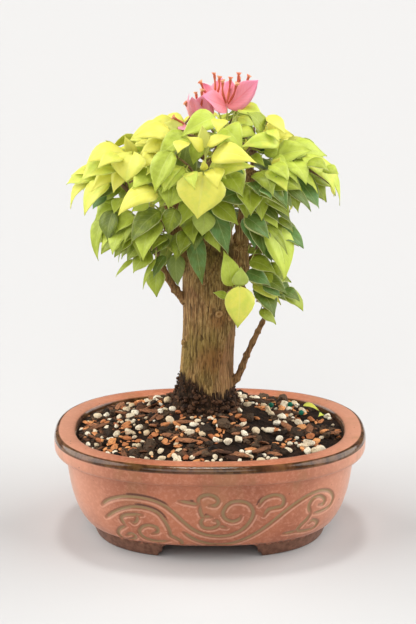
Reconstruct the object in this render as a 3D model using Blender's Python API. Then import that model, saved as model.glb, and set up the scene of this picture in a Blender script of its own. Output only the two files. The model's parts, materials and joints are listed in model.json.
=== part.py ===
"""Bougainvillea bonsai in an oval footed ceramic pot, as separate named solids.

The origin is on the ground under the middle of the pot. +Z is up, +X runs along the
pot's long side, and the plant's front looks along -Y. Units are metres; the tables
below give places in millimetres, and mm() turns them into metres.
"""
import math
import random
from collections import namedtuple

import bmesh
import bpy
from mathutils import Quaternion, Vector
from mathutils.bvhtree import BVHTree

MM = 0.001
GAP = 0.0003
GOLDEN_TURN = math.pi * (3.0 - math.sqrt(5.0))
SHARP_ANGLE = math.radians(40)

# Joining: faces this flat are merged, points this near are one, and parts move this much
# when a union doesn't close
FLAT_ANGLE = math.radians(2.5)
MERGE = 0.000003
NUDGE = 0.00004
NUDGE_TRIES = 12

# Pot: outer size of the rim, how square its plan is (2 is an ellipse), and the wall as
# (inset from the rim's outer line, height); below TUCK_TOP both ends lean in further
POT_LENGTH = 0.210
POT_WIDTH = 0.160
POT_SIDES = 40
PLAN_POWER = 2.4
END_TUCK = 5.5
TUCK_TOP = 56.0
FOOT_HEIGHT = 10.0
FLOOR_TOP = 17.0
SOIL_EDGE_INSET = 14.8
POT_OUTSIDE = ((18.8, 10.0), (16.4, 12.2), (13.9, 17.0), (11.4, 25.0), (9.1, 40.0), (8.0, 56.0))
POT_RIM = ((1.2, 59.5), (0.0, 62.5), (0.0, 68.4), (1.8, 71.4), (5.0, 72.0), (12.8, 72.0))
POT_INSIDE = ((SOIL_EDGE_INSET, 70.2), (17.5, 32.0), (23.0, FLOOR_TOP))
FOOT_INSET = (22.0, 19.4)
FOOT_WALL = 12.0
FRONT_GAP = ((34.0, -1.0), (34.0, 2.5), (31.5, 4.0), (31.0, 7.5), (28.0, 9.9))
SIDE_GAP = ((17.0, -1.0), (17.0, 2.5), (14.5, 4.0), (14.0, 7.5), (11.0, 9.9))
DRAIN_RADIUS = 0.007
DRAIN_X = 0.042

# Soil: level at the wall, mound round the trunk and the coarse grains on it
SOIL_LEVEL = 67.0
SOIL_BACK_RISE = 2.0
GROUND = 80.0
SEAT_RADIUS = 28.0
GRAIN_COUNT = 14
GRAIN_RADIUS = (3.2, 5.0)

# Trunk: axis point and radius from the ground to the cut top
TRUNK_AXIS = ((-3.5, 16, GROUND + 0.3, 22.5), (-3, 16, 87, 20.6), (-2.5, 16, 96, 19.2),
              (-2, 16, 110, 18.2), (-1, 16, 128, 18.0), (0, 16, 146, 18.6),
              (1, 16, 160, 20.0), (1, 16, 173, 19.6), (1, 16.5, 187, 17.0),
              (2, 17, 201, 13.4), (3, 17, 215, 10.4), (4, 17, 227, 8.4))
TRUNK_SIDES = 18
FLARE_LOBES = 5
FLARE_DEPTH = 0.085
FLARE_FADE = 22.0
FLARE_TURN = 0.6
FLUTE_DEPTH = 0.25
FLUTE_TWIST = 0.045

# Boughs: what each grows from, its axis, and its radius at the base and at the tip
Bough = namedtuple("Bough", "name parent axis base tip")
BOUGHS = (
    Bough("bough_left", "trunk",
          ((-9, 15, 168), (-17.5, 13, 190), (-17.5, 9, 222), (-15.5, 5, 253)), 4.6, 3.3),
    Bough("bough_right", "trunk",
          ((12, 9, 154), (19.5, 4, 180), (21.5, 5, 205), (25, 7, 232), (27, 8, 246)), 6.2, 3.8),
    Bough("bough_top", "trunk", ((4, 17, 222), (5, 18, 240), (8, 16, 254)), 5.0, 2.8),
    Bough("bough_front", "trunk", ((-2, 8, 196), (-3, -6, 212), (-4, -15, 229)), 4.0, 2.4),
    Bough("bough_front_left", "bough_left",
          ((-17.5, 10, 210), (-23, 0, 226), (-28, -11, 238)), 2.8, 2.0),
    Bough("bough_top_left", "bough_left", ((-16.5, 7, 236), (-21, 13, 247), (-22, 13, 258)), 2.6, 2.0),
    Bough("bough_far_left", "bough_left", ((-17.5, 12, 198), (-34, 8, 213), (-49, 0, 229)), 3.2, 2.0),
    Bough("bough_front_right", "bough_right", ((22, 5, 210), (26, -6, 223), (29, -14, 232)), 2.8, 2.0),
    Bough("bough_far_right", "bough_right", ((24, 7, 224), (37, 6, 236), (47, 4, 244)), 3.0, 2.0),
    Bough("bough_top_back", "trunk", ((4, 23, 205), (6, 31, 228), (7, 34, 251)), 3.4, 2.2),
    Bough("bough_back", "trunk", ((2, 24, 190), (2, 38, 212), (1, 45, 229)), 4.0, 2.4),
    Bough("bough_back_left", "trunk", ((-6, 24, 178), (-22, 36, 203), (-34, 42, 223)), 3.6, 2.2),
    Bough("bough_back_right", "trunk", ((8, 26, 178), (24, 36, 203), (34, 42, 223)), 3.6, 2.2),
    Bough("bough_low_left", "trunk",
          ((-10, 14, 148), (-22, 9, 163), (-30, 5, 178), (-35, 1, 190)), 3.0, 2.0),
    Bough("bough_low_right", "trunk",
          ((8, 14, 93), (17.5, 12, 101), (24, 9, 117), (31, 5, 134), (36, 2, 146)), 2.6, 1.8),
    Bough("bough_mid_right", "trunk", ((10, 20, 166), (29, 17, 184), (37, 9, 196)), 3.0, 2.0),
)
BOUGH_SIDES = 6

# Leaves: an outline is (share of the length, share of the width); shape and size of the
# grown ones as ranges
LEAF_THICK = 0.7
STALK_RADIUS = 0.4
LEAF_OUTLINE = ((0.22, 0.94), (0.62, 0.68))
BRACT_OUTLINE = ((0.40, 1.00), (0.74, 0.72))
LEAF_LENGTH = (20.0, 29.0)
LEAF_WIDTH = (0.54, 0.7)
LEAF_ARCH = (0.05, 0.2)
LEAF_STAND = (4.0, 7.5)
SHARPEST = -0.1

# Shoots: radius at both ends, how far into the space they reach, where they fork from
# the stem, how far apart their leaves are, and the room that a leaf keeps to others
TWIG_RADIUS = (1.5, 1.1)
SHOOT_REACH = 0.66
SHOOT_SPAN = 1.5
SHOOT_LIFT = 0.1
FORK_START = 0.3
LEAF_STEP = 5.0
LAST_LEAF = 0.9
LEAF_TRIES = 20
TRY_TURN = 0.45
CLEARANCE = 0.45

# Leaves placed by hand: a twig farther than this gets a side twig, which ends this far
# before the blade; a stalk starts at one of these shares of a twig
LEAD_REACH = 11.0
LEAD_STALK = 5.5
ROOT_SHARES = (0.36, 0.58, 0.72, 0.88)

# A mass has its own space, an ellipsoid. Its stem runs from the bough's tip, or from
# the trunk, to the hub, where shoots fan out. A lead is a leaf that is placed by hand:
# where its blade starts, its tip, its width, and its arch as a share of its length.
Mass = namedtuple("Mass", "name parent root hub centre reach shoots droop seed leads")
MASSES = (
    Mass("foliage_front", "bough_front", None, (-4, -25, 246),
         (-4, -30, 252), (33, 23, 30), 5, 0.7, 2,
         (((-4, -42, 252), (-8, -48, 226), 31, 0.06), ((-3, -32, 268), (-5, -30, 282), 9, 0.02),
          ((-2, -32, 270), (13, -36, 276), 8, 0.1), ((-4, -32, 267), (-14, -38, 276), 9, 0.1),
          ((1, -32, 263), (29, -44, 261), 16, 0.22), ((-1, -28, 250), (28, -40, 258), 14, 0.16),
          ((3, -14, 284), (-18, -24, 274), 16, 0.12))),
    Mass("foliage_front_left", "bough_front_left", None, (-31, -20, 252),
         (-33, -24, 251), (30, 24, 29), 5, 0.7, 6,
         (((-24, -34, 266), (-35, -42, 241), 16, 0.12), ((-33, -36, 241), (-58, -42, 227), 16, 0.28),
          ((-24, -14, 273), (-50, -26, 273), 15, 0.16), ((-14, -20, 273), (-33, -34, 262), 16, 0.1),
          ((-17, -10, 246), (-14, -8, 269), 19, 0.05))),
    Mass("foliage_left", "bough_far_left", None, (-60, -6, 242),
         (-64, -4, 243), (30, 34, 29), 6, 0.75, 7,
         (((-49, -26, 262), (-53, -32, 246), 26, 0.08), ((-65, -14, 242), (-81, -20, 222), 17, 0.14),
          ((-75, -2, 243), (-91, -8, 224), 10, 0.18), ((-67, 0, 245), (-90, -4, 245), 12, 0.14),
          ((-48, -18, 261), (-54, -20, 273), 8, 0.05))),
    Mass("foliage_top_left", "bough_top_left", None, (-22, 12, 268),
         (-22, 12, 268), (32, 30, 19), 6, 0.45, 5,
         (((-19, 0, 272), (-29, -4, 279), 13, 0.1),)),
    Mass("foliage_top_right", "bough_right", None, (29, 10, 260),
         (30, 12, 265), (30, 30, 21), 8, 0.5, 9,
         (((34, -1, 274), (24, -5, 286), 16, 0.08), ((37, 5, 281), (49, 0, 271), 13, 0.1),
          ((44, -8, 267), (19, -14, 265), 13, 0.14))),
    Mass("foliage_right", "bough_far_right", None, (56, 2, 249),
         (61, 2, 246), (28, 34, 28), 6, 0.75, 34,
         (((40, -16, 249), (59, -20, 238), 13, 0.14), ((46, -8, 253), (70, -12, 235), 12, 0.16),
          ((59, -4, 256), (82, -6, 232), 12, 0.16), ((62, 4, 257), (86, 2, 224), 12, 0.18),
          ((44, -4, 257), (65, -8, 262), 18, 0.08))),
    Mass("foliage_front_right", "bough_front_right", None, (29, -22, 241),
         (30, -25, 238), (29, 23, 27), 5, 0.8, 11,
         (((22, -24, 238), (5, -30, 234), 17, 0.12), ((27, -26, 244), (49, -34, 229), 16, 0.16),
          ((3, -24, 231), (18, -30, 218), 14, 0.1), ((29, -24, 236), (33, -32, 221), 12, 0.1))),
    Mass("foliage_top_back", "bough_top_back", None, (7, 38, 259),
         (8, 40, 264), (30, 24, 21), 8, 0.5, 79, ()),
    Mass("foliage_back", "bough_back", None, (0, 54, 244),
         (0, 54, 248), (34, 23, 28), 8, 0.7, 18, ()),
    Mass("foliage_back_left", "bough_back_left", None, (-43, 44, 237),
         (-48, 42, 240), (32, 32, 30), 6, 0.75, 1, ()),
    Mass("foliage_back_right", "bough_back_right", None, (43, 44, 237),
         (48, 42, 240), (32, 32, 30), 6, 0.75, 12, ()),
    Mass("foliage_low_left", "bough_low_left", None, (-42, -5, 202),
         (-48, -4, 204), (32, 32, 29), 5, 1.15, 13,
         (((-69, -4, 218), (-74, -6, 188), 12, 0.1), ((-62, -14, 223), (-66, -18, 204), 16, 0.1),
          ((-32, -22, 225), (-51, -28, 206), 17, 0.12), ((-22, -26, 227), (-27, -28, 211), 14, 0.1),
          ((-22, -8, 193), (-21, -10, 172), 13, 0.08))),
    Mass("foliage_low_front", "trunk", (-8, 12, 190), (-8, -12, 210),
         (-2, -16, 208), (26, 16, 32), 5, 1.2, 18,
         (((-3, -26, 225), (-5, -28, 210), 15, 0.08), ((1, -20, 227), (12, -24, 197), 15, 0.1),
          ((-10, -12, 208), (-5, -15, 174), 12.5, 0.08))),
    Mass("foliage_low_right", "bough_mid_right", None, (41, 1, 205),
         (43, -2, 204), (26, 30, 29), 5, 1.1, 1,
         (((38, -12, 213), (49, -18, 178), 22, 0.14), ((24, -16, 222), (38, -20, 206), 17, 0.1))),
    Mass("foliage_low_back", "trunk", (1, 22, 184), (-1, 46, 204),
         (-1, 50, 205), (38, 24, 30), 6, 1.1, 1597, ()),
    Mass("foliage_foot_right", "bough_low_right", None, (38, -1, 160),
         (42, -3, 164), (22, 20, 22), 6, 0.8, 3,
         (((24, -9, 181), (40, -13, 173), 12, 0.12), ((28, -4, 171), (47, -8, 159), 11, 0.18),
          ((33, -2, 153), (44, -4, 144), 10, 0.1), ((50, -4, 166), (62, -6, 154), 13, 0.12))),
    Mass("foliage_trunk_shoot", "trunk", (5, 6, 158), (18, -18, 174),
         (14, -20, 172), (18, 12, 28), 1, 0.9, 4181,
         (((14, -20, 175), (9, -18, 198), 14, 0.1), ((19, -24, 175), (18, -26, 148), 20, 0.08),
          ((19, -22, 176), (20, -21, 188), 11, 0.06), ((11, -18, 167), (2, -18, 170), 6, 0.1))),
)

# Blossom: each spray has three bracts round its axis, and each bract carries one tube
Spray = namedtuple("Spray", "centre axis length width open turn")
BLOSSOM_HUB = (13, 15, 268)
SPRAYS = (
    Spray((13, 14, 280), (0.35, -0.25, 1.0), 25, 21, 0.62, 0.25),
    Spray((-4, 12, 279), (-0.25, -0.35, 1.0), 20, 15, 0.6, 0.9),
    Spray((4, 22, 283), (0.0, 0.45, 1.0), 22, 17, 0.6, 0.1),
)
BLOSSOM_STEM = (1.5, 1.1)
SPRAY_STALK = (0.9, 0.9)
TUBE_LENGTH = 17.5
TUBE_RADIUS = (0.6, 0.95)

Leaf = namedtuple("Leaf", "root base tip facing width arch outline")
Growth = namedtuple("Growth", "twigs leaves wood blades")


def mm(point):
    """A place in millimetres as a vector in metres."""
    return Vector(point) * MM


def material(name, colour, roughness, metallic=0.0):
    """A Principled material with one colour."""
    made = bpy.data.materials.new(name)
    made.use_nodes = True
    surface = made.node_tree.nodes["Principled BSDF"]
    surface.inputs["Base Color"].default_value = (*colour, 1.0)
    surface.inputs["Roughness"].default_value = roughness
    surface.inputs["Metallic"].default_value = metallic
    return made


def add_object(name, mesh, collection, finish=None):
    """An object of this mesh in this collection."""
    made = bpy.data.objects.new(name, mesh)
    collection.objects.link(made)
    if finish:
        mesh.materials.append(finish)
    return made


def mesh_from(bm, name):
    """The finished mesh of a bmesh, facing outwards."""
    bmesh.ops.recalc_face_normals(bm, faces=bm.faces)
    for face in bm.faces:
        face.smooth = True
    mesh = bpy.data.meshes.new(name)
    bm.to_mesh(mesh)
    bm.free()
    mesh.set_sharp_from_angle(angle=SHARP_ANGLE)
    return mesh


def as_cutter(made):
    """Hide a helper that only cuts or joins."""
    made.hide_render = True
    made.display_type = "WIRE"
    return made


def boolean(made, other, operation):
    """Cut this object by another one, or join the two."""
    step = made.modifiers.new(operation.lower(), "BOOLEAN")
    step.operation = operation
    step.object = other
    return step


def loft(rings, name):
    """A closed solid through rings of points, flat at both ends; a last single point closes it."""
    bm = bmesh.new()
    rows = [[bm.verts.new(point) for point in ring] for ring in rings]
    for lower, upper in zip(rows, rows[1:]):
        for i in range(len(lower)):
            j = (i + 1) % len(lower)
            if len(upper) == 1:
                bm.faces.new((lower[i], lower[j], upper[0]))
            else:
                bm.faces.new((lower[i], lower[j], upper[j], upper[i]))
    bm.faces.new(rows[0])
    if len(rows[-1]) > 2:
        bm.faces.new(rows[-1])
    return mesh_from(bm, name)


def oval(inset, height):
    """A ring parallel to the rim's outer line, inset and height in millimetres."""
    tuck = END_TUCK * max(0.0, 1.0 - height / TUCK_TOP) ** 2
    half_x = POT_LENGTH / 2 - (inset + tuck) * MM
    half_y = POT_WIDTH / 2 - inset * MM
    points = []
    for i in range(POT_SIDES):
        angle = math.tau * i / POT_SIDES
        across, ahead = math.cos(angle), math.sin(angle)
        fuller = (abs(across) ** PLAN_POWER + abs(ahead) ** PLAN_POWER) ** (-1.0 / PLAN_POWER)
        points.append(Vector((half_x * across * fuller, half_y * ahead * fuller, height * MM)))
    return points


def smooth_path(points, steps):
    """Points along a smooth curve through the given ones, steps to each stretch."""
    ends = [points[0] * 2 - points[1]] + list(points) + [points[-1] * 2 - points[-2]]
    path = []
    for i in range(1, len(ends) - 2):
        before, start, end, after = ends[i - 1:i + 3]
        for k in range(steps):
            t = k / steps
            path.append(0.5 * (2 * start + (end - before) * t
                               + (2 * before - 5 * start + 4 * end - after) * t * t
                               + (3 * start - before - 3 * end + after) * t ** 3))
    path.append(points[-1].copy())
    return path


def limb_mesh(path, base, tip, sides, name):
    """A tapering limb along a path, closed at both ends, radii in metres."""
    outline = bpy.data.curves.new(name + "_section", "CURVE")
    outline.dimensions = "2D"
    ring = outline.splines.new("POLY")
    ring.points.add(sides - 1)
    for i, point in enumerate(ring.points):
        angle = -math.tau * i / sides
        point.co = (math.cos(angle), math.sin(angle), 0.0, 1.0)
    ring.use_cyclic_u = True
    section = bpy.data.objects.new(name + "_section", outline)
    curve = bpy.data.curves.new(name, "CURVE")
    curve.dimensions = "3D"
    curve.bevel_mode = "OBJECT"
    curve.bevel_object = section
    curve.use_fill_caps = True
    spline = curve.splines.new("POLY")
    spline.points.add(len(path) - 1)
    for i, (point, place) in enumerate(zip(spline.points, path)):
        point.co = (*place, 1.0)
        point.radius = base + (tip - base) * i / (len(path) - 1)
    limb = bpy.data.objects.new(name, curve)
    bpy.context.scene.collection.objects.link(limb)
    bpy.context.scene.collection.objects.link(section)
    bpy.context.view_layer.update()
    depsgraph = bpy.context.evaluated_depsgraph_get()
    made = bpy.data.meshes.new_from_object(limb.evaluated_get(depsgraph))
    bpy.data.objects.remove(limb)
    bpy.data.objects.remove(section)
    bm = bmesh.new()
    bm.from_mesh(made)
    bpy.data.meshes.remove(made)
    bmesh.ops.remove_doubles(bm, verts=bm.verts, dist=0.00001)
    return mesh_from(bm, name)


def trunk_mesh(spare, name):
    """The trunk, with spare added all round; five flares fade out above the ground."""
    rings = []
    for row, (x, y, z, radius) in enumerate(TRUNK_AXIS):
        ring = []
        beyond = {0: -spare, len(TRUNK_AXIS) - 1: spare}.get(row, 0.0)
        fade = math.exp(-(z - GROUND) / FLARE_FADE)
        for i in range(TRUNK_SIDES):
            angle = math.tau * i / TRUNK_SIDES
            flare = 1.0 + FLARE_DEPTH * fade * math.cos(FLARE_LOBES * angle + FLARE_TURN)
            flute = FLUTE_DEPTH * math.sin(3 * angle + z * FLUTE_TWIST)
            distance = (radius * flare + flute) * MM + spare
            away = Vector((distance * math.cos(angle), distance * math.sin(angle), beyond))
            ring.append(mm((x, y, z)) + away)
        rings.append(ring)
    return loft(rings, name)


def foot_gap(outline, half_length, name, turned):
    """A cutter between two feet: a stepped outline, mirrored, drawn through the pot's foot."""
    curve = bpy.data.curves.new(name, "CURVE")
    curve.dimensions = "2D"
    curve.fill_mode = "BOTH"
    curve.extrude = half_length
    spline = curve.splines.new("POLY")
    corners = [(x, z) for x, z in outline] + [(-x, z) for x, z in reversed(outline)]
    spline.points.add(len(corners) - 1)
    for point, (x, z) in zip(spline.points, corners):
        point.co = (x * MM, z * MM, 0.0, 1.0)
    spline.use_cyclic_u = True
    flat = bpy.data.objects.new(name, curve)
    bpy.context.scene.collection.objects.link(flat)
    bpy.context.view_layer.update()
    made = bpy.data.meshes.new_from_object(flat.evaluated_get(bpy.context.evaluated_depsgraph_get()))
    bpy.data.objects.remove(flat)
    bm = bmesh.new()
    bm.from_mesh(made)
    bpy.data.meshes.remove(made)
    bmesh.ops.remove_doubles(bm, verts=bm.verts, dist=0.00001)
    mesh = mesh_from(bm, name)
    gap = as_cutter(add_object(name, mesh, cutters))
    gap.rotation_euler = (math.pi / 2, 0.0, math.pi / 2 if turned else 0.0)
    return gap


def make_pot():
    """Oval pot, one piece of ceramic, with a rolled rim, two drain holes and four feet."""
    profile = POT_OUTSIDE + POT_RIM + POT_INSIDE
    mesh = loft([oval(inset, height) for inset, height in profile], "pot")
    pot = add_object("pot", mesh, plant, material("pot_glaze", (0.56, 0.26, 0.19), 0.32))
    low, high = FOOT_INSET
    ring = [oval(low, 0.0), oval(high, FOOT_HEIGHT + 1.0),
            oval(high + FOOT_WALL, FOOT_HEIGHT + 1.0), oval(low + FOOT_WALL, 0.0)]
    bm = bmesh.new()
    rows = [[bm.verts.new(point) for point in row] for row in ring]
    for row, after in zip(rows, rows[1:] + rows[:1]):
        for i in range(POT_SIDES):
            j = (i + 1) % POT_SIDES
            bm.faces.new((row[i], row[j], after[j], after[i]))
    feet = as_cutter(add_object("feet_ring", mesh_from(bm, "feet_ring"), cutters))
    boolean(feet, foot_gap(FRONT_GAP, POT_WIDTH, "front_gap", False), "DIFFERENCE")
    boolean(feet, foot_gap(SIDE_GAP, POT_LENGTH, "side_gap", True), "DIFFERENCE")
    boolean(pot, feet, "UNION")
    for side in (-1, 1):
        bm = bmesh.new()
        bmesh.ops.create_cone(bm, segments=8, radius1=DRAIN_RADIUS, radius2=DRAIN_RADIUS,
                              depth=0.03, cap_ends=True)
        bmesh.ops.translate(bm, verts=bm.verts, vec=(side * DRAIN_X, 0.0, FLOOR_TOP * MM))
        drill = as_cutter(add_object("drain_drill", mesh_from(bm, "drain_drill"), cutters))
        boolean(pot, drill, "DIFFERENCE")
    return pot


def soil_ring(share, rng):
    """A ring of the soil's top, from the wall (share 0) to the seat round the trunk (1)."""
    x, y = TRUNK_AXIS[0][0], TRUNK_AXIS[0][1]
    ring = []
    for i, wall in enumerate(oval(SOIL_EDGE_INSET + 0.6, SOIL_LEVEL)):
        angle = math.tau * i / POT_SIDES
        seat = mm((x + SEAT_RADIUS * math.cos(angle), y + SEAT_RADIUS * math.sin(angle), 0.0))
        point = wall.lerp(seat, share)
        edge = SOIL_LEVEL + SOIL_BACK_RISE * wall.y / (POT_WIDTH / 2)
        rise = share ** 1.3
        rough = rng.uniform(-0.7, 0.7) if 0.0 < share < 1.0 else 0.0
        point.z = (edge + (GROUND - edge) * rise + rough) * MM
        ring.append(point)
    return ring


def make_soil():
    """Soil that fills the pot and is mounded to a flat seat under the trunk, with coarse grains."""
    rng = random.Random(7)
    below = [oval(inset + 0.6, height) for inset, height in reversed(POT_INSIDE[1:])]
    below[0] = oval(POT_INSIDE[-1][0] + 0.9, FLOOR_TOP + 0.3)
    rings = below + [soil_ring(share, rng) for share in (0.0, 0.35, 0.7, 1.0)]
    soil = add_object("soil", loft(rings, "soil"), plant, material("potting_mix", (0.06, 0.04, 0.03), 0.95))
    grains = bpy.data.collections.new("grains")
    for i in range(GRAIN_COUNT):
        angle = i * GOLDEN_TURN
        spread = math.sqrt((i + 0.5) / GRAIN_COUNT)
        radius = rng.uniform(*GRAIN_RADIUS)
        inset = SOIL_EDGE_INSET + 2.5 + radius
        x = spread * (POT_LENGTH / 2 / MM - inset) * math.cos(angle)
        y = spread * (POT_WIDTH / 2 / MM - inset) * math.sin(angle)
        from_trunk = math.hypot(x - TRUNK_AXIS[0][0], y - TRUNK_AXIS[0][1])
        if from_trunk < SEAT_RADIUS + 5.0:
            continue
        hit, place, _, _ = soil.ray_cast(mm((x, y, 120)), (0, 0, -1))
        if not hit:
            continue
        bm = bmesh.new()
        bmesh.ops.create_icosphere(bm, subdivisions=1, radius=radius * MM)
        for vert in bm.verts:
            vert.co *= rng.uniform(0.82, 1.12)
            vert.co.z *= 0.75
        bmesh.ops.translate(bm, verts=bm.verts, vec=place)
        add_object("grain", mesh_from(bm, "grain"), grains)
    join_all(soil, grains)
    return soil


def join_all(made, collection):
    """One union of an object with all in a collection, applied; scraps and hollows go."""
    bpy.context.scene.collection.children.link(collection)
    step = made.modifiers.new("join", "BOOLEAN")
    step.operation = "UNION"
    step.operand_type = "COLLECTION"
    step.collection = collection
    step.solver = "MANIFOLD"
    rng = random.Random(1)
    for attempt in range(NUDGE_TRIES):
        bpy.context.view_layer.update()
        joined = bpy.data.meshes.new_from_object(made.evaluated_get(bpy.context.evaluated_depsgraph_get()))
        if keep_main_body(joined):
            break
        for piece in collection.objects:
            piece.location = Vector([rng.uniform(-NUDGE, NUDGE) for _ in range(3)])
    made.modifiers.remove(step)
    for piece in list(collection.objects):
        bpy.data.objects.remove(piece)
    bpy.data.collections.remove(collection)
    made.data = joined


def delete_flaps(bm):
    """Delete pairs of faces that lie back to back on the same three corners."""
    corners = {}
    for face in bm.faces:
        corners.setdefault(frozenset(vert.index for vert in face.verts), []).append(face)
    flaps = [face for pair in corners.values() if len(pair) == 2 for face in pair]
    bmesh.ops.delete(bm, geom=flaps, context="FACES")


def keep_main_body(mesh):
    """Keep a mesh's largest body, without hollows and loose scraps; say whether it is closed."""
    bm = bmesh.new()
    bm.from_mesh(mesh)
    bmesh.ops.remove_doubles(bm, verts=bm.verts, dist=MERGE)
    bmesh.ops.dissolve_degenerate(bm, edges=bm.edges, dist=MERGE)
    bmesh.ops.dissolve_limit(bm, angle_limit=FLAT_ANGLE, verts=bm.verts, edges=bm.edges)
    bmesh.ops.triangulate(bm, faces=bm.faces)
    delete_flaps(bm)
    unseen = set(bm.faces)
    bodies = []
    while unseen:
        body = [unseen.pop()]
        for face in body:
            for edge in face.edges:
                for other in edge.link_faces:
                    if other in unseen:
                        unseen.remove(other)
                        body.append(other)
        bodies.append(body)
    bodies.sort(key=len)
    for body in bodies[:-1]:
        bmesh.ops.delete(bm, geom=body, context="FACES")
    loose = [vert for vert in bm.verts if not vert.link_faces]
    bmesh.ops.delete(bm, geom=loose, context="VERTS")
    closed = all(edge.is_manifold for edge in bm.edges)
    bm.to_mesh(mesh)
    bm.free()
    mesh.set_sharp_from_angle(angle=SHARP_ANGLE)
    return closed


def make_bough(bough):
    """One tapering limb, its base cut 0.3 mm clear of what it grows from."""
    path = smooth_path([mm(point) for point in bough.axis], 2)
    mesh = limb_mesh(path, bough.base * MM, bough.tip * MM, BOUGH_SIDES, bough.name)
    limb = add_object(bough.name, mesh, plant, bark)
    boolean(limb, clear_shapes[bough.parent], "DIFFERENCE")
    wider = limb_mesh(path, bough.base * MM + GAP, bough.tip * MM + GAP, BOUGH_SIDES, bough.name + "_clear")
    clear_shapes[bough.name] = as_cutter(add_object(bough.name + "_clear", wider, cutters))
    bough_ends[bough.name] = (path[-1], (path[-1] - path[-2]).normalized(), bough.tip)


def leaf_frame(leaf):
    """The blade's axis, its face direction and its side direction."""
    axis = (leaf.tip - leaf.base).normalized()
    face = (leaf.facing - axis * leaf.facing.dot(axis)).normalized()
    return axis, face, axis.cross(face)


def leaf_bend(leaf):
    """How far the blade goes on from its stalk: 1 in line, 0 square to it."""
    return (leaf.tip - leaf.base).normalized().dot((leaf.base - leaf.root).normalized())


def stalk_rings(leaf, radius):
    """Where the stalk leaves its twig and where the blade starts, as (place, up, across)."""
    axis, face, side = leaf_frame(leaf)
    turn = axis.rotation_difference((leaf.base - leaf.root).normalized())
    half_turn = Quaternion().slerp(turn, 0.5)
    return [(place, bend @ face * radius * MM, bend @ side * radius * MM)
            for place, bend in ((leaf.root, turn), (leaf.base, half_turn))]


def blade_middle(leaf, face, share):
    """The underside of the midrib at a share of the blade's length."""
    rise = leaf.arch * (leaf.tip - leaf.base).length * 4 * share * (1 - share)
    return leaf.base.lerp(leaf.tip, share) + face * rise


def leaf_rings(leaf):
    """The leaf as three-cornered rings, with its midrib as a ridge: its stalk, then the blade."""
    face, side = leaf_frame(leaf)[1:]
    rings = []
    for place, up, across in stalk_rings(leaf, STALK_RADIUS):
        rings.append([place + up, place + across - up * 0.6, place - across - up * 0.6])
    for share, width in leaf.outline:
        middle = blade_middle(leaf, face, share)
        reach = side * leaf.width / 2 * width
        rings.append([middle + face * LEAF_THICK * MM, middle + reach, middle - reach])
    rings.append([leaf.tip])
    return rings


def leaf_space(leaf, stalk=True):
    """The room the leaf needs, with clearance all round, as four-cornered rings."""
    axis, face, side = leaf_frame(leaf)
    spare = CLEARANCE * MM
    rings = []
    for place, up, across in stalk_rings(leaf, STALK_RADIUS + CLEARANCE):
        rings.append([place + up, place + across, place - up, place - across])
    if not stalk:
        rings.pop(0)
    top, under = face * (LEAF_THICK * MM + spare), face * -spare
    stations = [(blade_middle(leaf, face, share), leaf.width / 2 * width) for share, width in leaf.outline]
    for middle, half_width in stations + [(leaf.tip + axis * spare, 0.0)]:
        reach = side * (half_width + spare)
        rings.append([middle + top + reach, middle + under + reach,
                      middle + under - reach, middle + top - reach])
    return rings


def ring_tree(rings):
    """A search tree of the surface through rings, in millimetres."""
    points = [point / MM for ring in rings for point in ring]
    faces = []
    start = 0
    for lower, upper in zip(rings, rings[1:]):
        count = len(lower)
        after = start + count
        for i in range(count):
            j = (i + 1) % count
            if len(upper) == 1:
                faces.append((start + i, start + j, after))
            else:
                faces.append((start + i, start + j, after + j, after + i))
        start = after
    centre = sum(points, Vector()) / len(points)
    radius = max((point - centre).length for point in points)
    return BVHTree.FromPolygons(points, faces), centre, radius


def twig_rings(path, base, tip, spare=0.0):
    """Three-cornered rings along a twig, radii in millimetres."""
    rings = []
    side = (path[1] - path[0]).orthogonal()
    for i, point in enumerate(path):
        ahead = (path[min(i + 1, len(path) - 1)] - path[max(i - 1, 0)]).normalized()
        side = (side - ahead * side.dot(ahead)).normalized()
        up = side.cross(ahead)
        radius = (base + (tip - base) * i / (len(path) - 1) + spare) * MM
        ring = []
        for k in range(3):
            angle = math.tau * k / 3
            ring.append(point + (side * math.cos(angle) + up * math.sin(angle)) * radius)
        rings.append(ring)
    return rings


def mesh_tree(made):
    """A search tree of an object as it is evaluated, in millimetres."""
    shape = made.evaluated_get(bpy.context.evaluated_depsgraph_get())
    mesh = shape.to_mesh()
    points = [vert.co / MM for vert in mesh.vertices]
    tree = BVHTree.FromPolygons(points, [tuple(face.vertices) for face in mesh.polygons])
    shape.to_mesh_clear()
    centre = sum(points, Vector()) / len(points)
    return tree, centre, max((point - centre).length for point in points)


def touches(rings, others):
    """Whether the surface through rings crosses any of the others."""
    tree, centre, radius = ring_tree(rings)
    for other, other_centre, other_radius in others:
        if (other_centre - centre).length < radius + other_radius and tree.overlap(other):
            return True
    return False


def outward(point):
    """The level direction from the trunk's axis to a point."""
    return Vector((point.x, point.y - TRUNK_AXIS[0][1] * MM, 0.0)).normalized()


def inside(mass, point):
    """Whether a point is in the mass's own space."""
    away = point - mm(mass.centre)
    return sum((away[i] / (mass.reach[i] * MM)) ** 2 for i in range(3)) <= 1.0


def along(path, share):
    """The place at a share of the way along a path's points."""
    index = min(int(share * (len(path) - 1)), len(path) - 2)
    return path[index].lerp(path[index + 1], share * (len(path) - 1) - index)


def nearest(twigs, point):
    """The place inside the twigs that is nearest to a point, away from where they start and end."""
    places = [along(path, share) for path in twigs for share in ROOT_SHARES]
    return min(places, key=lambda place: (place - point).length)


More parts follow.
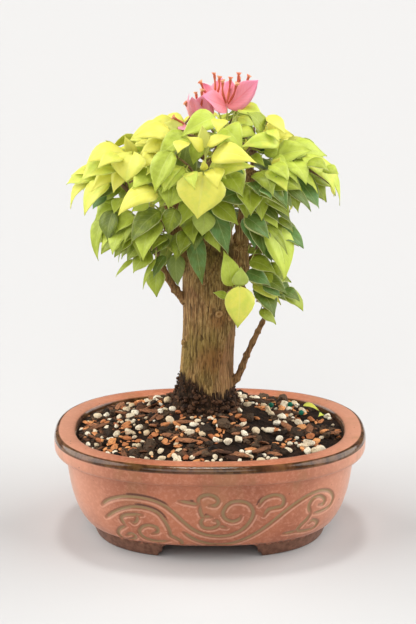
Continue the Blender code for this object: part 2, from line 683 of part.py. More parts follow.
def make_lead(lead, twigs):
    """A leaf placed by hand; where no twig is near its blade, a side twig reaches out to it."""
    base, tip, width, arch = mm(lead[0]), mm(lead[1]), lead[2], lead[3]
    axis = (tip - base).normalized()
    start = nearest(twigs, base)
    if (base - start).length > LEAD_REACH * MM or axis.dot((base - start).normalized()) < SHARPEST:
        stalk = (base - start).normalized() + axis * 0.8
        end = base - stalk.normalized() * LEAD_STALK * MM
        middle = start.lerp(end, 0.5) + Vector((0, 0, SHOOT_LIFT * (end - start).length))
        twigs.append([start, middle, end])
        start = along(twigs[-1], ROOT_SHARES[-1])
    facing = outward(base) * 0.9 + Vector((0, 0, 0.7))
    return Leaf(start, base, tip, facing, width * MM, arch, LEAF_OUTLINE)


def make_leaf(place, ahead, number, mass, rng):
    """A leaf that stands off its shoot, then bends out and down."""
    away = outward(place)
    side = ahead.cross(Vector((0, 0, 1))).normalized()
    up = side.cross(ahead)
    angle = number * GOLDEN_TURN + rng.uniform(-0.4, 0.4)
    stand = side * math.cos(angle) + up * math.sin(angle) * 0.6 + ahead * 0.5
    base = place + stand.normalized() * rng.uniform(*LEAF_STAND) * MM
    length = rng.uniform(*LEAF_LENGTH) * MM
    lean = stand * 0.55 + away * 0.75 + Vector((0, 0, -mass.droop * rng.uniform(0.6, 1.2)))
    tip = base + lean.normalized() * length
    facing = away * 0.7 + Vector((0, 0, 0.8)) + side * rng.uniform(-0.5, 0.5)
    return Leaf(place, base, tip, facing, length * rng.uniform(*LEAF_WIDTH),
                rng.uniform(*LEAF_ARCH), LEAF_OUTLINE)


def start_mass(mass):
    """The stem of one mass and the leaves placed by hand, with the side twigs that carry them."""
    if mass.root:
        start = mm(mass.root)
        ahead = (mm(mass.hub) - start).normalized()
    else:
        start, ahead, _ = bough_ends[mass.parent]
        start = start + ahead * GAP
    hub = mm(mass.hub)
    stem = smooth_path([start, start.lerp(hub, 0.5) + ahead * 0.12 * (hub - start).length, hub], 2)
    twigs = [stem]
    leaves = [make_lead(lead, twigs) for lead in mass.leads]
    wood = [ring_tree(twig_rings(path, *TWIG_RADIUS)) for path in twigs]
    blades = [ring_tree(leaf_rings(leaf)) for leaf in leaves]
    return Growth(twigs, leaves, wood, blades)


def add_shoots(mass, growth, others, rng):
    """A fan of shoots from the stem into the mass's space; one that touches another thing is skipped."""
    centre = mm(mass.centre)
    for i in range(mass.shoots):
        level = 1.0 - (i + 0.5) * SHOOT_SPAN / mass.shoots
        angle = i * GOLDEN_TURN + rng.uniform(0.0, 0.8)
        flat = math.sqrt(1.0 - level * level)
        aim = Vector((flat * math.cos(angle) * mass.reach[0], flat * math.sin(angle) * mass.reach[1],
                      level * mass.reach[2]))
        end = centre + aim * SHOOT_REACH * MM
        begin = along(growth.twigs[0], FORK_START + (1.0 - FORK_START) * (i + 0.5) / mass.shoots)
        path = [begin, begin.lerp(end, 0.5) + Vector((0, 0, SHOOT_LIFT * (end - begin).length)), end]
        if not touches(twig_rings(path, *TWIG_RADIUS, 2 * CLEARANCE), others + growth.blades):
            growth.twigs.append(path)
            growth.wood.append(ring_tree(twig_rings(path, *TWIG_RADIUS)))


def add_leaves(mass, growth, others, rng):
    """Leaves along each twig, each turned until it is clear of everything, or skipped."""
    for path in growth.twigs[1:]:
        length = sum((b - a).length for a, b in zip(path, path[1:]))
        count = max(2, round(length / (LEAF_STEP * MM)))
        for k in range(count):
            share = (k + 1) / count * LAST_LEAF
            place = along(path, share)
            ahead = (along(path, 1.0) - along(path, share - 0.1)).normalized()
            for attempt in range(LEAF_TRIES):
                leaf = make_leaf(place, ahead, k + attempt * TRY_TURN, mass, rng)
                if not inside(mass, leaf.tip) or leaf_bend(leaf) < SHARPEST:
                    continue
                if touches(leaf_space(leaf, stalk=False), growth.wood):
                    continue
                if touches(leaf_space(leaf), others + growth.blades):
                    continue
                growth.leaves.append(leaf)
                growth.blades.append(ring_tree(leaf_rings(leaf)))
                break


def grow_all(limbs):
    """Grow every mass: first the stems and the leaves placed by hand, then what fills them."""
    growths = {mass.name: start_mass(mass) for mass in MASSES}
    for mass in MASSES:
        rng = random.Random(mass.seed)
        others = limbs + [tree for name, other in growths.items() if name != mass.name
                          for tree in other.wood + other.blades]
        add_shoots(mass, growths[mass.name], others, rng)
        add_leaves(mass, growths[mass.name], others, rng)
    return growths


def make_mass(mass, growth):
    """Build one mass of foliage as a solid: its stem, joined with its twigs and leaves."""
    stem = loft(twig_rings(growth.twigs[0], *TWIG_RADIUS), mass.name)
    made = add_object(mass.name, stem, plant, foliage)
    pieces = bpy.data.collections.new(mass.name + "_pieces")
    for path in growth.twigs[1:]:
        add_object("twig", loft(twig_rings(path, *TWIG_RADIUS), "twig"), pieces)
    for leaf in growth.leaves:
        add_object("leaf", loft(leaf_rings(leaf), "leaf"), pieces)
    join_all(made, pieces)
    if mass.parent == "trunk":
        boolean(made, clear_shapes["trunk"], "DIFFERENCE")


def blossom_rings():
    """The blossom's stem and, on thin stalks, three sprays of three bracts and their tubes."""
    start, ahead, _ = bough_ends["bough_top"]
    start = start + ahead * GAP
    hub = mm(BLOSSOM_HUB)
    stem = smooth_path([start, start.lerp(hub, 0.5), hub], 2)
    pieces = [twig_rings(stem, *BLOSSOM_STEM)]
    for spray in SPRAYS:
        centre = mm(spray.centre)
        axis = Vector(spray.axis).normalized()
        side = axis.cross(Vector((0, 1, 0))).normalized()
        front = side.cross(axis)
        stalk = [along(stem, 0.9), hub.lerp(centre, 0.5), hub.lerp(centre, 1.04)]
        pieces.append(twig_rings(stalk, *SPRAY_STALK))
        for k in range(3):
            angle = spray.turn + math.tau * k / 3
            away = side * math.cos(angle) + front * math.sin(angle)
            lean = axis * (1.0 - spray.open * 0.5) + away * spray.open
            base = centre + away * 0.8 * MM
            tip = base + lean.normalized() * spray.length * MM
            facing = axis * 0.5 - away
            bract = Leaf(centre, base, tip, facing, spray.width * MM, -0.12, BRACT_OUTLINE)
            pieces.append(leaf_rings(bract))
            rise = axis * 0.9 + away * 0.28
            top = centre + rise.normalized() * TUBE_LENGTH * MM
            pieces.append(twig_rings([centre + away * 0.4 * MM, top], *TUBE_RADIUS))
    return pieces


def make_blossom(rings):
    """Join the blossom's pieces to its stem."""
    made = add_object("blossom", loft(rings[0], "blossom"), plant,
                      material("bract_pink", (0.95, 0.22, 0.32), 0.5))
    pieces = bpy.data.collections.new("blossom_pieces")
    for piece in rings[1:]:
        add_object("spray_piece", loft(piece, "spray_piece"), pieces)
    join_all(made, pieces)


for old in list(bpy.data.objects):
    bpy.data.objects.remove(old)

plant = bpy.data.collections.new("bougainvillea_bonsai")
cutters = bpy.data.collections.new("cutters")
bpy.context.scene.collection.children.link(plant)
bpy.context.scene.collection.children.link(cutters)
bark = material("bark", (0.20, 0.13, 0.07), 0.9)
foliage = material("leaf_green", (0.35, 0.50, 0.08), 0.5)
clear_shapes = {}
bough_ends = {}

make_pot()
make_soil()
trunk = add_object("trunk", trunk_mesh(0.0, "trunk"), plant, bark)
clear_shapes["trunk"] = as_cutter(add_object("trunk_clear", trunk_mesh(GAP, "trunk_clear"), cutters))
for each in BOUGHS:
    make_bough(each)
bpy.context.view_layer.update()
limb_trees = [mesh_tree(each) for each in plant.objects if each.name.startswith(("trunk", "bough"))]
blossom = blossom_rings()
growths = grow_all(limb_trees + [ring_tree(piece) for piece in blossom])
for each in MASSES:
    make_mass(each, growths[each.name])
make_blossom(blossom)
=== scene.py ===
"""Bougainvillea bonsai in a footed oval pot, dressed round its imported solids."""
import json
import math
import random
from collections import namedtuple

import bmesh
import bpy
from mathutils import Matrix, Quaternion, Vector, kdtree, noise
from mathutils.bvhtree import BVHTree

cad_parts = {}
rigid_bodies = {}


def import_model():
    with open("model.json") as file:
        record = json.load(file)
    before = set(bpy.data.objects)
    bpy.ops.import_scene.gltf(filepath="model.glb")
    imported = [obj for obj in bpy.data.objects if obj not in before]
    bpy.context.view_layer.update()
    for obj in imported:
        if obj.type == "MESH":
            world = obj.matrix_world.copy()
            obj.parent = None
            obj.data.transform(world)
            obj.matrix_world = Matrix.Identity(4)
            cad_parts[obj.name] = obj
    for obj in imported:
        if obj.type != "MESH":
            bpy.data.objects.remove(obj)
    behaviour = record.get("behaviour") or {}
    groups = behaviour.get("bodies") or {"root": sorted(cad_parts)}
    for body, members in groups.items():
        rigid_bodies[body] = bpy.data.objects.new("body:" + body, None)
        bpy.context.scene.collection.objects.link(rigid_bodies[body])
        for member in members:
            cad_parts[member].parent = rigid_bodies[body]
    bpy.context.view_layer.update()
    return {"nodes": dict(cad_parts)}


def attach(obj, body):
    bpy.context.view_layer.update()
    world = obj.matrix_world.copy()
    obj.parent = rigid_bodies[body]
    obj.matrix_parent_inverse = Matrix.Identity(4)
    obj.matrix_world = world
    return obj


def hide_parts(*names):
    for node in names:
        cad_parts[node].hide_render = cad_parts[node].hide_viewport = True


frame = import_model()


# The pot is one piece of stoneware, pressed as an oval and glazed salmon, with painted light making it paler
# at its ends.
# Scrolls were cut into the leather-hard wall, and olive glaze gathered in them; along each scroll's upper
# edge lies painted shade, and along its lower edge a painted highlight. Along the rim the glaze broke to a
# glossy brown, and the four feet were left almost bare.
MM = 0.001
HALF_LENGTH = 105.0
HALF_WIDTH = 80.0
# How square the oval is (2 is an ellipse), and how far its ends lean in further below a height
PLAN_POWER = 2.4
END_TUCK = 5.5
TUCK_TOP = 56.0
POT_STEPS = 80
POT_CUTS = 9
UNDERSIDE = 10.0
FLOOR_TOP = 17.0
# The wall as (inset from the rim's outer line, height), and the rings in which it is carved
WALL_PROFILE = ((18.8, 10.0), (17.0, 11.6), (16.2, 12.4), (13.9, 17.0), (12.5, 21.0), (11.4, 25.0),
                (10.1, 32.0), (9.1, 40.0), (8.4, 48.0), (8.0, 54.5))
CARVED_BAND = (11.6, 54.5)
CARVED_RINGS = 62
# The rim and the feet as (inset, height, how brown the glaze broke there)
RIM_PROFILE = ((7.6, 56.2, 0.0), (6.6, 57.3, 0.0), (4.6, 58.2, 0.0), (2.4, 58.9, 0.0), (0.9, 59.8, 0.05),
               (0.15, 61.2, 0.0), (0.0, 63.0, 0.0), (0.0, 65.6, 0.0), (0.0, 67.3, 0.1), (0.05, 68.6, 0.8),
               (0.45, 69.9, 1.0), (1.2, 71.0, 1.0), (2.3, 71.7, 0.75), (3.6, 71.95, 0.15), (4.8, 72.0, 0.0),
               (6.4, 72.0, 0.0), (9.0, 72.0, 0.0), (11.4, 71.95, 0.0), (12.9, 71.6, 0.1), (13.9, 71.0, 0.35),
               (14.6, 70.0, 0.8), (14.9, 68.4, 1.0), (15.2, 64.0, 1.0), (17.5, 32.0, 1.0), (23.0, 17.0, 1.0))
FOOT_PROFILE = ((19.3, 11.6, 0.0), (19.9, 9.0, 0.0), (20.6, 6.0, 0.0), (21.4, 2.0, 0.0), (21.7, 0.9, 0.0),
                (22.3, 0.2, 0.0), (23.2, 0.0, 0.0), (32.8, 0.0, 0.0), (33.6, 0.3, 0.0), (34.0, 1.2, 0.0),
                (32.6, 6.0, 0.0), (31.3, 11.6, 0.0))
# The gaps between the feet as (distance from the pot's middle, height of the gap's top there)
GAP_ACROSS = ((28.0, 10.5), (31.0, 7.5), (31.5, 4.0), (34.0, 2.5), (34.3, 0.0))
GAP_ALONG = ((11.0, 10.5), (14.0, 7.5), (14.5, 4.0), (17.0, 2.5), (17.3, 0.0))
GAP_SIDE_FROM = 62.0
DRAINS = ((-42.0, 0.0), (42.0, 0.0))
DRAIN_RADIUS = 7.0
# The scrolls' depth and half width, and how far from its ends each line gets shallow
GROOVE_DEPTH = 1.1
GROOVE_REACH = 2.1
GROOVE_FADE = 3.5
# Where the painted shade above a scroll is darkest: the scroll's number, and from which turn to which
PAINTED_SHADE_LIPS = ((0, -132.0, -111.0), (1, -128.0, -112.0), (10, -102.1, -97.0), (15, -70.0, -62.0),
             (13, -94.0, -90.0))
# Where the photograph was taken from, how far down it looks, its focal length and its middle, the
# last two in picture points
VIEWPOINT = Vector((-1.3, -1055.8, 460.2))
VIEW_DOWN = math.radians(16.3)
FOCAL = 1656.0
PICTURE_MIDDLE = (208.0, 312.0)
# Each scroll line as points of the photograph, read in an enlargement: a picture point is
# the corner plus the point over the scale
SCROLL_CORNER = (85.0, 478.0)
SCROLL_SCALE = 6.0
SCROLLS = (
    ((100, 160), (130, 136), (180, 119), (240, 112), (320, 118), (400, 135), (470, 165), (530, 210),
     (590, 265), (640, 305), (700, 335), (760, 348), (830, 350), (890, 338), (945, 310), (985, 270),
     (1010, 220), (1003, 180), (975, 153), (930, 142), (880, 148), (845, 175), (828, 215), (845, 248),
     (885, 262), (920, 252), (938, 228)),
    ((125, 236), (170, 206), (230, 182), (300, 173), (380, 186), (440, 215), (480, 265), (505, 312),
     (515, 345), (545, 362), (578, 382), (578, 402), (548, 406)),
    ((505, 378), (430, 380), (360, 360), (326, 325), (342, 295), (385, 285), (430, 300), (434, 325),
     (404, 335)),
    ((245, 287), (225, 262), (216, 238), (240, 223), (290, 220), (345, 223)),
    ((308, 224), (312, 250), (296, 270), (276, 260)),
    ((245, 287), (207, 305), (200, 335), (240, 362), (288, 366), (302, 350), (274, 334), (247, 346)),
    ((590, 325), (640, 360), (700, 385), (780, 400), (870, 395), (950, 370), (1030, 330), (1110, 275),
     (1190, 210), (1270, 150), (1350, 100), (1420, 75), (1470, 80), (1490, 115), (1470, 165),
     (1425, 196), (1375, 211)),
    ((1355, 215), (1345, 170), (1370, 125), (1410, 108), (1440, 127), (1430, 155), (1404, 160)),
    ((1355, 215), (1330, 250), (1295, 285), (1274, 316), (1312, 318), (1370, 300), (1395, 266),
     (1370, 252), (1345, 271)),
    ((1274, 318), (1190, 335)),
    ((560, 140), (620, 150), (685, 164)),
    ((690, 165), (680, 135), (700, 112), (740, 103), (780, 115), (800, 140), (785, 165), (745, 168)),
    ((690, 165), (692, 205), (706, 240), (695, 268), (712, 298), (760, 303), (800, 286), (795, 261),
     (772, 256)),
    ((706, 240), (730, 233), (762, 236)),
    ((800, 288), (850, 300)),
    ((1045, 166), (1075, 126), (1130, 105), (1180, 110), (1195, 140), (1180, 170), (1140, 180),
     (1100, 192), (1074, 228)),
)
# A curl on each end of the pot, which the photograph doesn't show, as (degrees round it, height)
SIDE_CURL = ((-22.0, 22.0), (-14.0, 27.5), (-6.0, 33.0), (3.0, 35.5), (11.0, 32.5), (12.5, 26.5),
             (6.5, 23.0), (1.5, 26.5))


def between(table, value):
    """The value that a table of (place, value) pairs gives at a place."""
    if value <= table[0][0]:
        return table[0][1]
    for (low, first), (high, second) in zip(table, table[1:]):
        if value <= high:
            return first + (second - first) * (value - low) / (high - low)
    return table[-1][1]


def smooth_path(points, steps):
    """Points along a smooth curve through the given ones, steps to each stretch."""
    ends = [points[0] * 2 - points[1]] + list(points) + [points[-1] * 2 - points[-2]]
    path = []
    for i in range(1, len(ends) - 2):
        before, start, end, after = ends[i - 1:i + 3]
        for k in range(steps):
            t = k / steps
            path.append(0.5 * (2 * start + (end - before) * t
                               + (2 * before - 5 * start + 4 * end - after) * t * t
                               + (3 * start - before - 3 * end + after) * t ** 3))
    path.append(points[-1].copy())
    return path


WALL_INSETS = tuple((z, inset) for inset, z in WALL_PROFILE)


def half_axes(inset, height):
    """Half the pot's length and width, an inset inside the rim; low down the ends lean in further."""
    tuck = END_TUCK * max(0.0, 1.0 - height / TUCK_TOP) ** 2
    return HALF_LENGTH - inset - tuck, HALF_WIDTH - inset


def on_plan(turn, inset, height):
    """A place on the pot's full oval plan, parallel to the rim."""
    long, wide = half_axes(inset, height)
    across, ahead = math.cos(turn), math.sin(turn)
    fuller = (abs(across) ** PLAN_POWER + abs(ahead) ** PLAN_POWER) ** (-1.0 / PLAN_POWER)
    return Vector((long * across * fuller, wide * ahead * fuller, height)) * MM


def on_upright(u, v, depth):
    """Where a point of the photograph lies on the upright plane at this depth, in millimetres."""
    right, up = (u - PICTURE_MIDDLE[0]) / FOCAL, (PICTURE_MIDDLE[1] - v) / FOCAL
    level, down = math.cos(VIEW_DOWN), math.sin(VIEW_DOWN)
    way = Vector((right, level + down * up, level * up - down))
    return VIEWPOINT + way * ((depth - VIEWPOINT.y) / way.y)


def on_wall(u, v):
    """The place on the pot's outer wall that shows at a point of the photograph."""
    outside, inside = on_upright(u, v, -HALF_WIDTH), on_upright(u, v, 0.0)
    for halving in range(24):
        spot = (outside + inside) / 2
        long, wide = half_axes(between(WALL_INSETS, spot.z), spot.z)
        if abs(spot.x / long) ** PLAN_POWER + abs(spot.y / wide) ** PLAN_POWER > 1.0:
            outside = spot
        else:
            inside = spot
    return outside * MM


def spin_oval(profile, closed):
    """A bmesh spun from a profile of (inset, height, edge), with rings parallel to the rim."""
    bm = bmesh.new()
    inset_mark = bm.verts.layers.float.new("inset")
    edge_mark = bm.verts.layers.float.new("edge")
    line = []
    for inset, height, edge in profile:
        vert = bm.verts.new(((HALF_LENGTH - inset) * MM, 0.0, height * MM))
        vert[inset_mark] = inset
        vert[edge_mark] = edge
        line.append(vert)
    for first, second in zip(line, line[1:] + line[:1] if closed else line[1:]):
        bm.edges.new((first, second))
    bmesh.ops.spin(bm, geom=bm.verts[:] + bm.edges[:], cent=(0, 0, 0), axis=(0, 0, 1),
                   angle=math.tau, steps=POT_STEPS, use_merge=True)
    round_edges = [edge for edge in bm.edges
                   if abs(edge.verts[0].co.z - edge.verts[1].co.z) < 1e-7
                   and abs(edge.verts[0][inset_mark] - edge.verts[1][inset_mark]) < 1e-4]
    bmesh.ops.subdivide_edges(bm, edges=round_edges, cuts=POT_CUTS, use_grid_fill=True)
    for vert in bm.verts:
        vert.co = on_plan(math.atan2(vert.co.y, vert.co.x), vert[inset_mark], vert.co.z / MM)
    return bm


def mesh_piece(name, bm, *finishes, smooth=True):
    """A finished piece from a bmesh, at the origin, riding on the plant's one body."""
    mesh = bpy.data.meshes.new(name)
    for face in bm.faces:
        face.smooth = smooth
    bm.to_mesh(mesh)
    bm.free()
    for finish in finishes:
        mesh.materials.append(finish)
    piece = bpy.data.objects.new(name, mesh)
    bpy.context.scene.collection.objects.link(piece)
    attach(piece, "root")
    return piece


class Finish:
    """A Principled material whose nodes are added one call at a time."""

    def __init__(self, name, roughness, specular=0.5):
        self.material = bpy.data.materials.new(name)
        self.material.use_nodes = True
        self.tree = self.material.node_tree
        self.surface = self.tree.nodes["Principled BSDF"]
        self.surface.inputs["Roughness"].default_value = roughness
        self.surface.inputs["Specular IOR Level"].default_value = specular
        self.place = self.tree.nodes.new("ShaderNodeTexCoord").outputs["Object"]

    def put(self, kind, outputs=0, settings=(), **sockets):
        """A node with its sockets set or linked; gives back one of its outputs."""
        node = self.tree.nodes.new("ShaderNode" + kind)
        for key, value in dict(settings).items():
            setattr(node, key, value)
        for key, value in sockets.items():
            name = key.replace("_", " ")
            by_number = name[0] == "i" and name[1:].isdigit()
            socket = node.inputs[int(name[1:]) if by_number else name]
            if isinstance(value, bpy.types.NodeSocket):
                self.tree.links.new(value, socket)
            else:
                socket.default_value = value
        return node.outputs[outputs]

    def grain(self, scale, detail=4.0, stretch=(1, 1, 1), rough=0.55):
        """Noise of so many lumps to the metre, stretched along the axes."""
        place = self.put("Mapping", Vector=self.place, Scale=tuple(scale * s for s in stretch))
        return self.put("TexNoise", Vector=place, Scale=1.0, Detail=detail, Roughness=rough)

    def spread(self, value, low, high, bottom=0.0, top=1.0):
        """A value brought from one range to another, held inside it."""
        return self.put("MapRange", settings={"interpolation_type": "SMOOTHSTEP"},
                        Value=value, From_Min=low, From_Max=high, To_Min=bottom, To_Max=top)

    def reckon(self, operation, *values):
        """What a Math node makes of one, two or three values."""
        sockets = {f"i{number}": value for number, value in enumerate(values)}
        return self.put("Math", settings={"operation": operation}, **sockets)

    def times(self, first, second):
        """One value times another."""
        return self.reckon("MULTIPLY", first, second)

    def mix(self, share, first, second):
        """Two colours mixed by a share."""
        return self.put("Mix", 2, {"data_type": "RGBA"}, i0=share, i6=first, i7=second)

    def mottle(self, value, low, high, first, second):
        """Two colours, the first below one level of a value and the second above another."""
        return self.mix(self.spread(value, low, high), first, second)

    def mark(self, name):
        """A value that the piece's own mesh carries."""
        return self.put("Attribute", 2, {"attribute_name": name})

    def paint(self, colour, bump=None, strength=0.3, depth=0.0003, roughness=None):
        """Put the colour, the bump and the roughness on the surface."""
        self.tree.links.new(colour, self.surface.inputs["Base Color"])
        if roughness is not None:
            self.tree.links.new(roughness, self.surface.inputs["Roughness"])
        if bump is not None:
            relief = self.put("Bump", Height=bump, Strength=strength, Distance=depth)
            self.tree.links.new(relief, self.surface.inputs["Normal"])
        return self.material


left, top = SCROLL_CORNER
carvings = [[on_wall(left + x / SCROLL_SCALE, top + y / SCROLL_SCALE) for x, y in scroll]
            for scroll in SCROLLS]
carvings.append([on_plan(math.radians(turn), between(WALL_INSETS, height), height)
                 for turn, height in SIDE_CURL])
groove_line = []
for number, corners in enumerate(carvings):
    path = smooth_path(corners, 9)
    for half_turn in (1, -1):
        for i, point in enumerate(path):
            run = min((path[0] - point).length, (path[-1] - point).length) / MM
            turn = math.degrees(math.atan2(point.y, point.x))
            painted_shade = max([0.0] + [min(1.0, (turn - start) / 2.5, (end - turn) / 2.5)
                               for line, start, end in PAINTED_SHADE_LIPS if line == number])
            groove_line.append((Vector((point.x * half_turn, point.y * half_turn, point.z)),
                                0.4 + 0.6 * min(1.0, run / GROOVE_FADE), painted_shade))
groove_tree = kdtree.KDTree(len(groove_line))
for i, (point, share, painted_shade) in enumerate(groove_line):
    groove_tree.insert(point, i)
groove_tree.balance()

low, high = CARVED_BAND
levels = [low + (high - low) * i / CARVED_RINGS for i in range(CARVED_RINGS + 1)]
carved = [(between(WALL_INSETS, level), level, 0.0) for level in levels]
pot_profile = [(20.6, UNDERSIDE, 0.0), (19.4, 10.05, 0.0), (18.1, 10.6, 0.0)] + carved + list(RIM_PROFILE)
pot_mesh = spin_oval(pot_profile, closed=False)
groove_mark = pot_mesh.verts.layers.float.new("groove")
painted_shade_mark = pot_mesh.verts.layers.float.new("painted_shade")
painted_highlight_mark = pot_mesh.verts.layers.float.new("painted_highlight")
inset_mark = pot_mesh.verts.layers.float["inset"]
for vert in pot_mesh.verts:
    height = vert.co.z / MM
    if vert[inset_mark] > between(WALL_INSETS, height) + 0.1 or not low < height < high:
        continue
    point, index, distance = groove_tree.find(vert.co)
    share, painted_shade = groove_line[index][1:]
    away = distance / MM / (GROOVE_REACH * (0.6 + 0.4 * share))
    # Painted shade along each scroll's upper edge, darkest where listed, and a painted highlight along its
    # lower edge
    if away < 1.9 and height > point.z / MM + 0.5:
        darkest_painted_shade = painted_shade * max(0.0, 1.0 - abs(away - 0.95) / 0.7)
        vert[painted_shade_mark] = max(darkest_painted_shade, 0.3 * max(0.0, 1.0 - abs(away - 0.7) / 0.4))
    elif away < 1.9 and height < point.z / MM - 0.4:
        vert[painted_highlight_mark] = max(0.0, 1.0 - abs(away - 1.1) / 0.55)
    if away < 1.0:
        cut = 0.5 + 0.5 * math.cos(math.pi * away)
        inward = Vector((-vert.co.x / HALF_LENGTH ** 2, -vert.co.y / HALF_WIDTH ** 2, 0.0)).normalized()
        vert.co += inward * cut * share * GROOVE_DEPTH * MM
        vert[groove_mark] = min(1.0, 1.2 * cut) * share

open_rings = [edge for edge in pot_mesh.edges if edge.is_boundary]
halfway = (UNDERSIDE + FLOOR_TOP) / 2 * MM
under = [edge for edge in open_rings if edge.verts[0].co.z < halfway]
floor = [edge for edge in open_rings if edge.verts[0].co.z > halfway]
drain_rings = {}
for level, ring in ((UNDERSIDE, under), (FLOOR_TOP, floor)):
    drain_rings[level] = []
    for x, y in DRAINS:
        made = bmesh.ops.create_circle(pot_mesh, cap_ends=False, segments=32, radius=DRAIN_RADIUS * MM)
        bmesh.ops.translate(pot_mesh, verts=made["verts"], vec=(x * MM, y * MM, level * MM))
        rim = list({edge for vert in made["verts"] for edge in vert.link_edges})
        drain_rings[level].append(rim)
        ring = ring + rim
    bmesh.ops.triangle_fill(pot_mesh, use_beauty=True, edges=ring)
for lower, upper in zip(drain_rings[UNDERSIDE], drain_rings[FLOOR_TOP]):
    bmesh.ops.bridge_loops(pot_mesh, edges=lower + upper)

foot_mesh = spin_oval(FOOT_PROFILE, closed=True)
for vert in foot_mesh.verts:
    x, y = abs(vert.co.x / MM), abs(vert.co.y / MM)
    lift = between(GAP_ALONG, y) if x > GAP_SIDE_FROM else between(GAP_ACROSS, x)
    vert.co.z = max(vert.co.z, lift * MM)
foot_data = bpy.data.meshes.new("feet")
foot_mesh.to_mesh(foot_data)
foot_mesh.free()
pot_mesh.from_mesh(foot_data)
bpy.data.meshes.remove(foot_data)
bmesh.ops.recalc_face_normals(pot_mesh, faces=pot_mesh.faces)

glaze = Finish("salmon_glaze", 0.3, 0.4)
glaze.surface.inputs["Coat Weight"].default_value = 0.15
glaze.surface.inputs["Coat Roughness"].default_value = 0.1
height = glaze.put("SeparateXYZ", 2, Vector=glaze.place)
length = glaze.reckon("ABSOLUTE", glaze.put("SeparateXYZ", 0, Vector=glaze.place))
cloud = glaze.spread(glaze.grain(28, 3.0, stretch=(1, 1, 0.6)), 0.35, 0.65)
fine = glaze.grain(420, 3.0)
colour = glaze.mix(cloud, (0.52, 0.175, 0.086, 1), (0.39, 0.12, 0.056, 1))
colour = glaze.mix(glaze.spread(fine, 0.42, 0.72, 0.0, 0.4), colour, (0.69, 0.31, 0.20, 1))
# Painted light: the glaze is painted paler towards the pot's ends
colour = glaze.mix(glaze.spread(length, 0.045, 0.105, 0.0, 0.52), colour, (0.84, 0.45, 0.315, 1))
runs = glaze.spread(glaze.grain(46, 3.0, stretch=(1, 1, 0.3)), 0.5, 0.68, 0.0, 0.4)
colour = glaze.mix(glaze.times(runs, glaze.spread(height, 0.02, 0.058)), colour, (0.36, 0.19, 0.08, 1))
specks = glaze.spread(glaze.grain(520, 2.0, rough=0.4), 0.74, 0.79)
colour = glaze.mix(glaze.times(specks, 0.8), colour, (0.07, 0.03, 0.02, 1))
groove = glaze.mark("groove")
colour = glaze.mix(glaze.spread(groove, 0.02, 0.35, 0.0, 0.5), colour, (0.24, 0.11, 0.05, 1))
colour = glaze.mix(glaze.spread(groove, 0.4, 0.9, 0.0, 0.85), colour, (0.34, 0.225, 0.105, 1))
# Painted shade above the scrolls, then a painted highlight below them
colour = glaze.mix(glaze.spread(glaze.mark("painted_shade"), 0.08, 0.8, 0.0, 0.92), colour, (0.10, 0.03, 0.015, 1))
colour = glaze.mix(glaze.spread(glaze.mark("painted_highlight"), 0.1, 1.0, 0.0, 0.45), colour, (0.85, 0.50, 0.36, 1))
edge_noise = glaze.spread(glaze.grain(60, 5.0, rough=0.7), 0.3, 0.6, 0.8, 1.0)
edge = glaze.times(glaze.spread(glaze.mark("edge"), 0.12, 0.62), edge_noise)
brown = glaze.mottle(glaze.grain(150, 4.0), 0.4, 0.62, (0.05, 0.021, 0.008, 1), (0.12, 0.058, 0.02, 1))
colour = glaze.mix(edge, colour, brown)
clay = glaze.mottle(glaze.grain(300, 5.0), 0.35, 0.65, (0.13, 0.052, 0.03, 1), (0.22, 0.10, 0.06, 1))
bare_line = glaze.reckon("ADD", height, glaze.spread(fine, 0.3, 0.7, -0.0015, 0.0015))
colour = glaze.mix(glaze.spread(bare_line, 0.0088, 0.0118, 1.0, 0.0), colour, clay)
rough = glaze.reckon("MULTIPLY_ADD", edge, -0.26, 0.36)
rough = glaze.mix(glaze.spread(height, 0.0085, 0.0115, 1.0, 0.0), rough, (0.8, 0.8, 0.8, 1))
glaze.paint(colour, glaze.grain(700, 4.0), 0.16, 0.0004, rough)
glaze.surface.inputs["Sheen Weight"].default_value = 0.05
glaze.surface.inputs["Sheen Roughness"].default_value = 0.45
pot = mesh_piece("pot_glazed", pot_mesh, glaze.material)
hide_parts("pot")


# The soil is a free-draining bonsai mix, poured into the pot and mounded to the trunk. It is
# dark bark and lava crumb, with white pumice, orange fired clay, strips of bark and a few
# green feed pellets lying loose on top.
mix = Finish("moist_mix", 0.9, 0.2)
damp = mix.mottle(mix.grain(260, 6.0, rough=0.7), 0.35, 0.7, (0.007, 0.004, 0.0025, 1),
                  (0.04, 0.02, 0.011, 1))
mix.paint(damp, mix.grain(500, 6.0), 1.0, 0.002)
soil = frame["nodes"]["soil"]
soil.material_slots[0].material = mix.material

# Where the trunk stands and how far it reaches, how far grains keep from the rim's outer line, and
# the squares in which their neighbours are looked up
TRUNK_FOOT = (-3.5, 16.0)
TRUNK_REACH = 21.5
SOIL_INSET = 16.0
CELL = 8.0
settled = {}


def soil_under(x, y):
    """The place on the soil's surface below (x, y), or None beside the soil."""
    hit, place, normal, face = soil.ray_cast(Vector((x, y, 150.0)) * MM, (0, 0, -1))
    return place / MM if hit else None


def settle(rng, radius, spacing, patchy=0.0, tries=24):
    """A free place on the soil for a grain, clear of its neighbours; patchy kinds gather in drifts."""
    for attempt in range(tries):
        turn, share = rng.uniform(0, math.tau), math.sqrt(rng.random())
        x, y = on_plan(turn, SOIL_INSET + radius, TUCK_TOP).xy / MM * share
        if math.hypot(x - TRUNK_FOOT[0], y - TRUNK_FOOT[1]) < TRUNK_REACH + 0.4 * radius:
            continue
        drift = noise.noise(Vector((x * 0.045, y * 0.06, patchy * 9.0))) - x * 0.002
        if drift < rng.uniform(-0.7, 0.5) * patchy:
            continue
        column, row = int(x // CELL), int(y // CELL)
        near = [other for i in (-1, 0, 1) for j in (-1, 0, 1)
                for other in settled.get((column + i, row + j), ())]
        if any(math.hypot(x - a, y - b) < spacing * (radius + c) for a, b, c in near):
            continue
        place = soil_under(x, y)
        if place is None:
            continue
        settled.setdefault((column, row), []).append((x, y, radius))
        return place
    return None


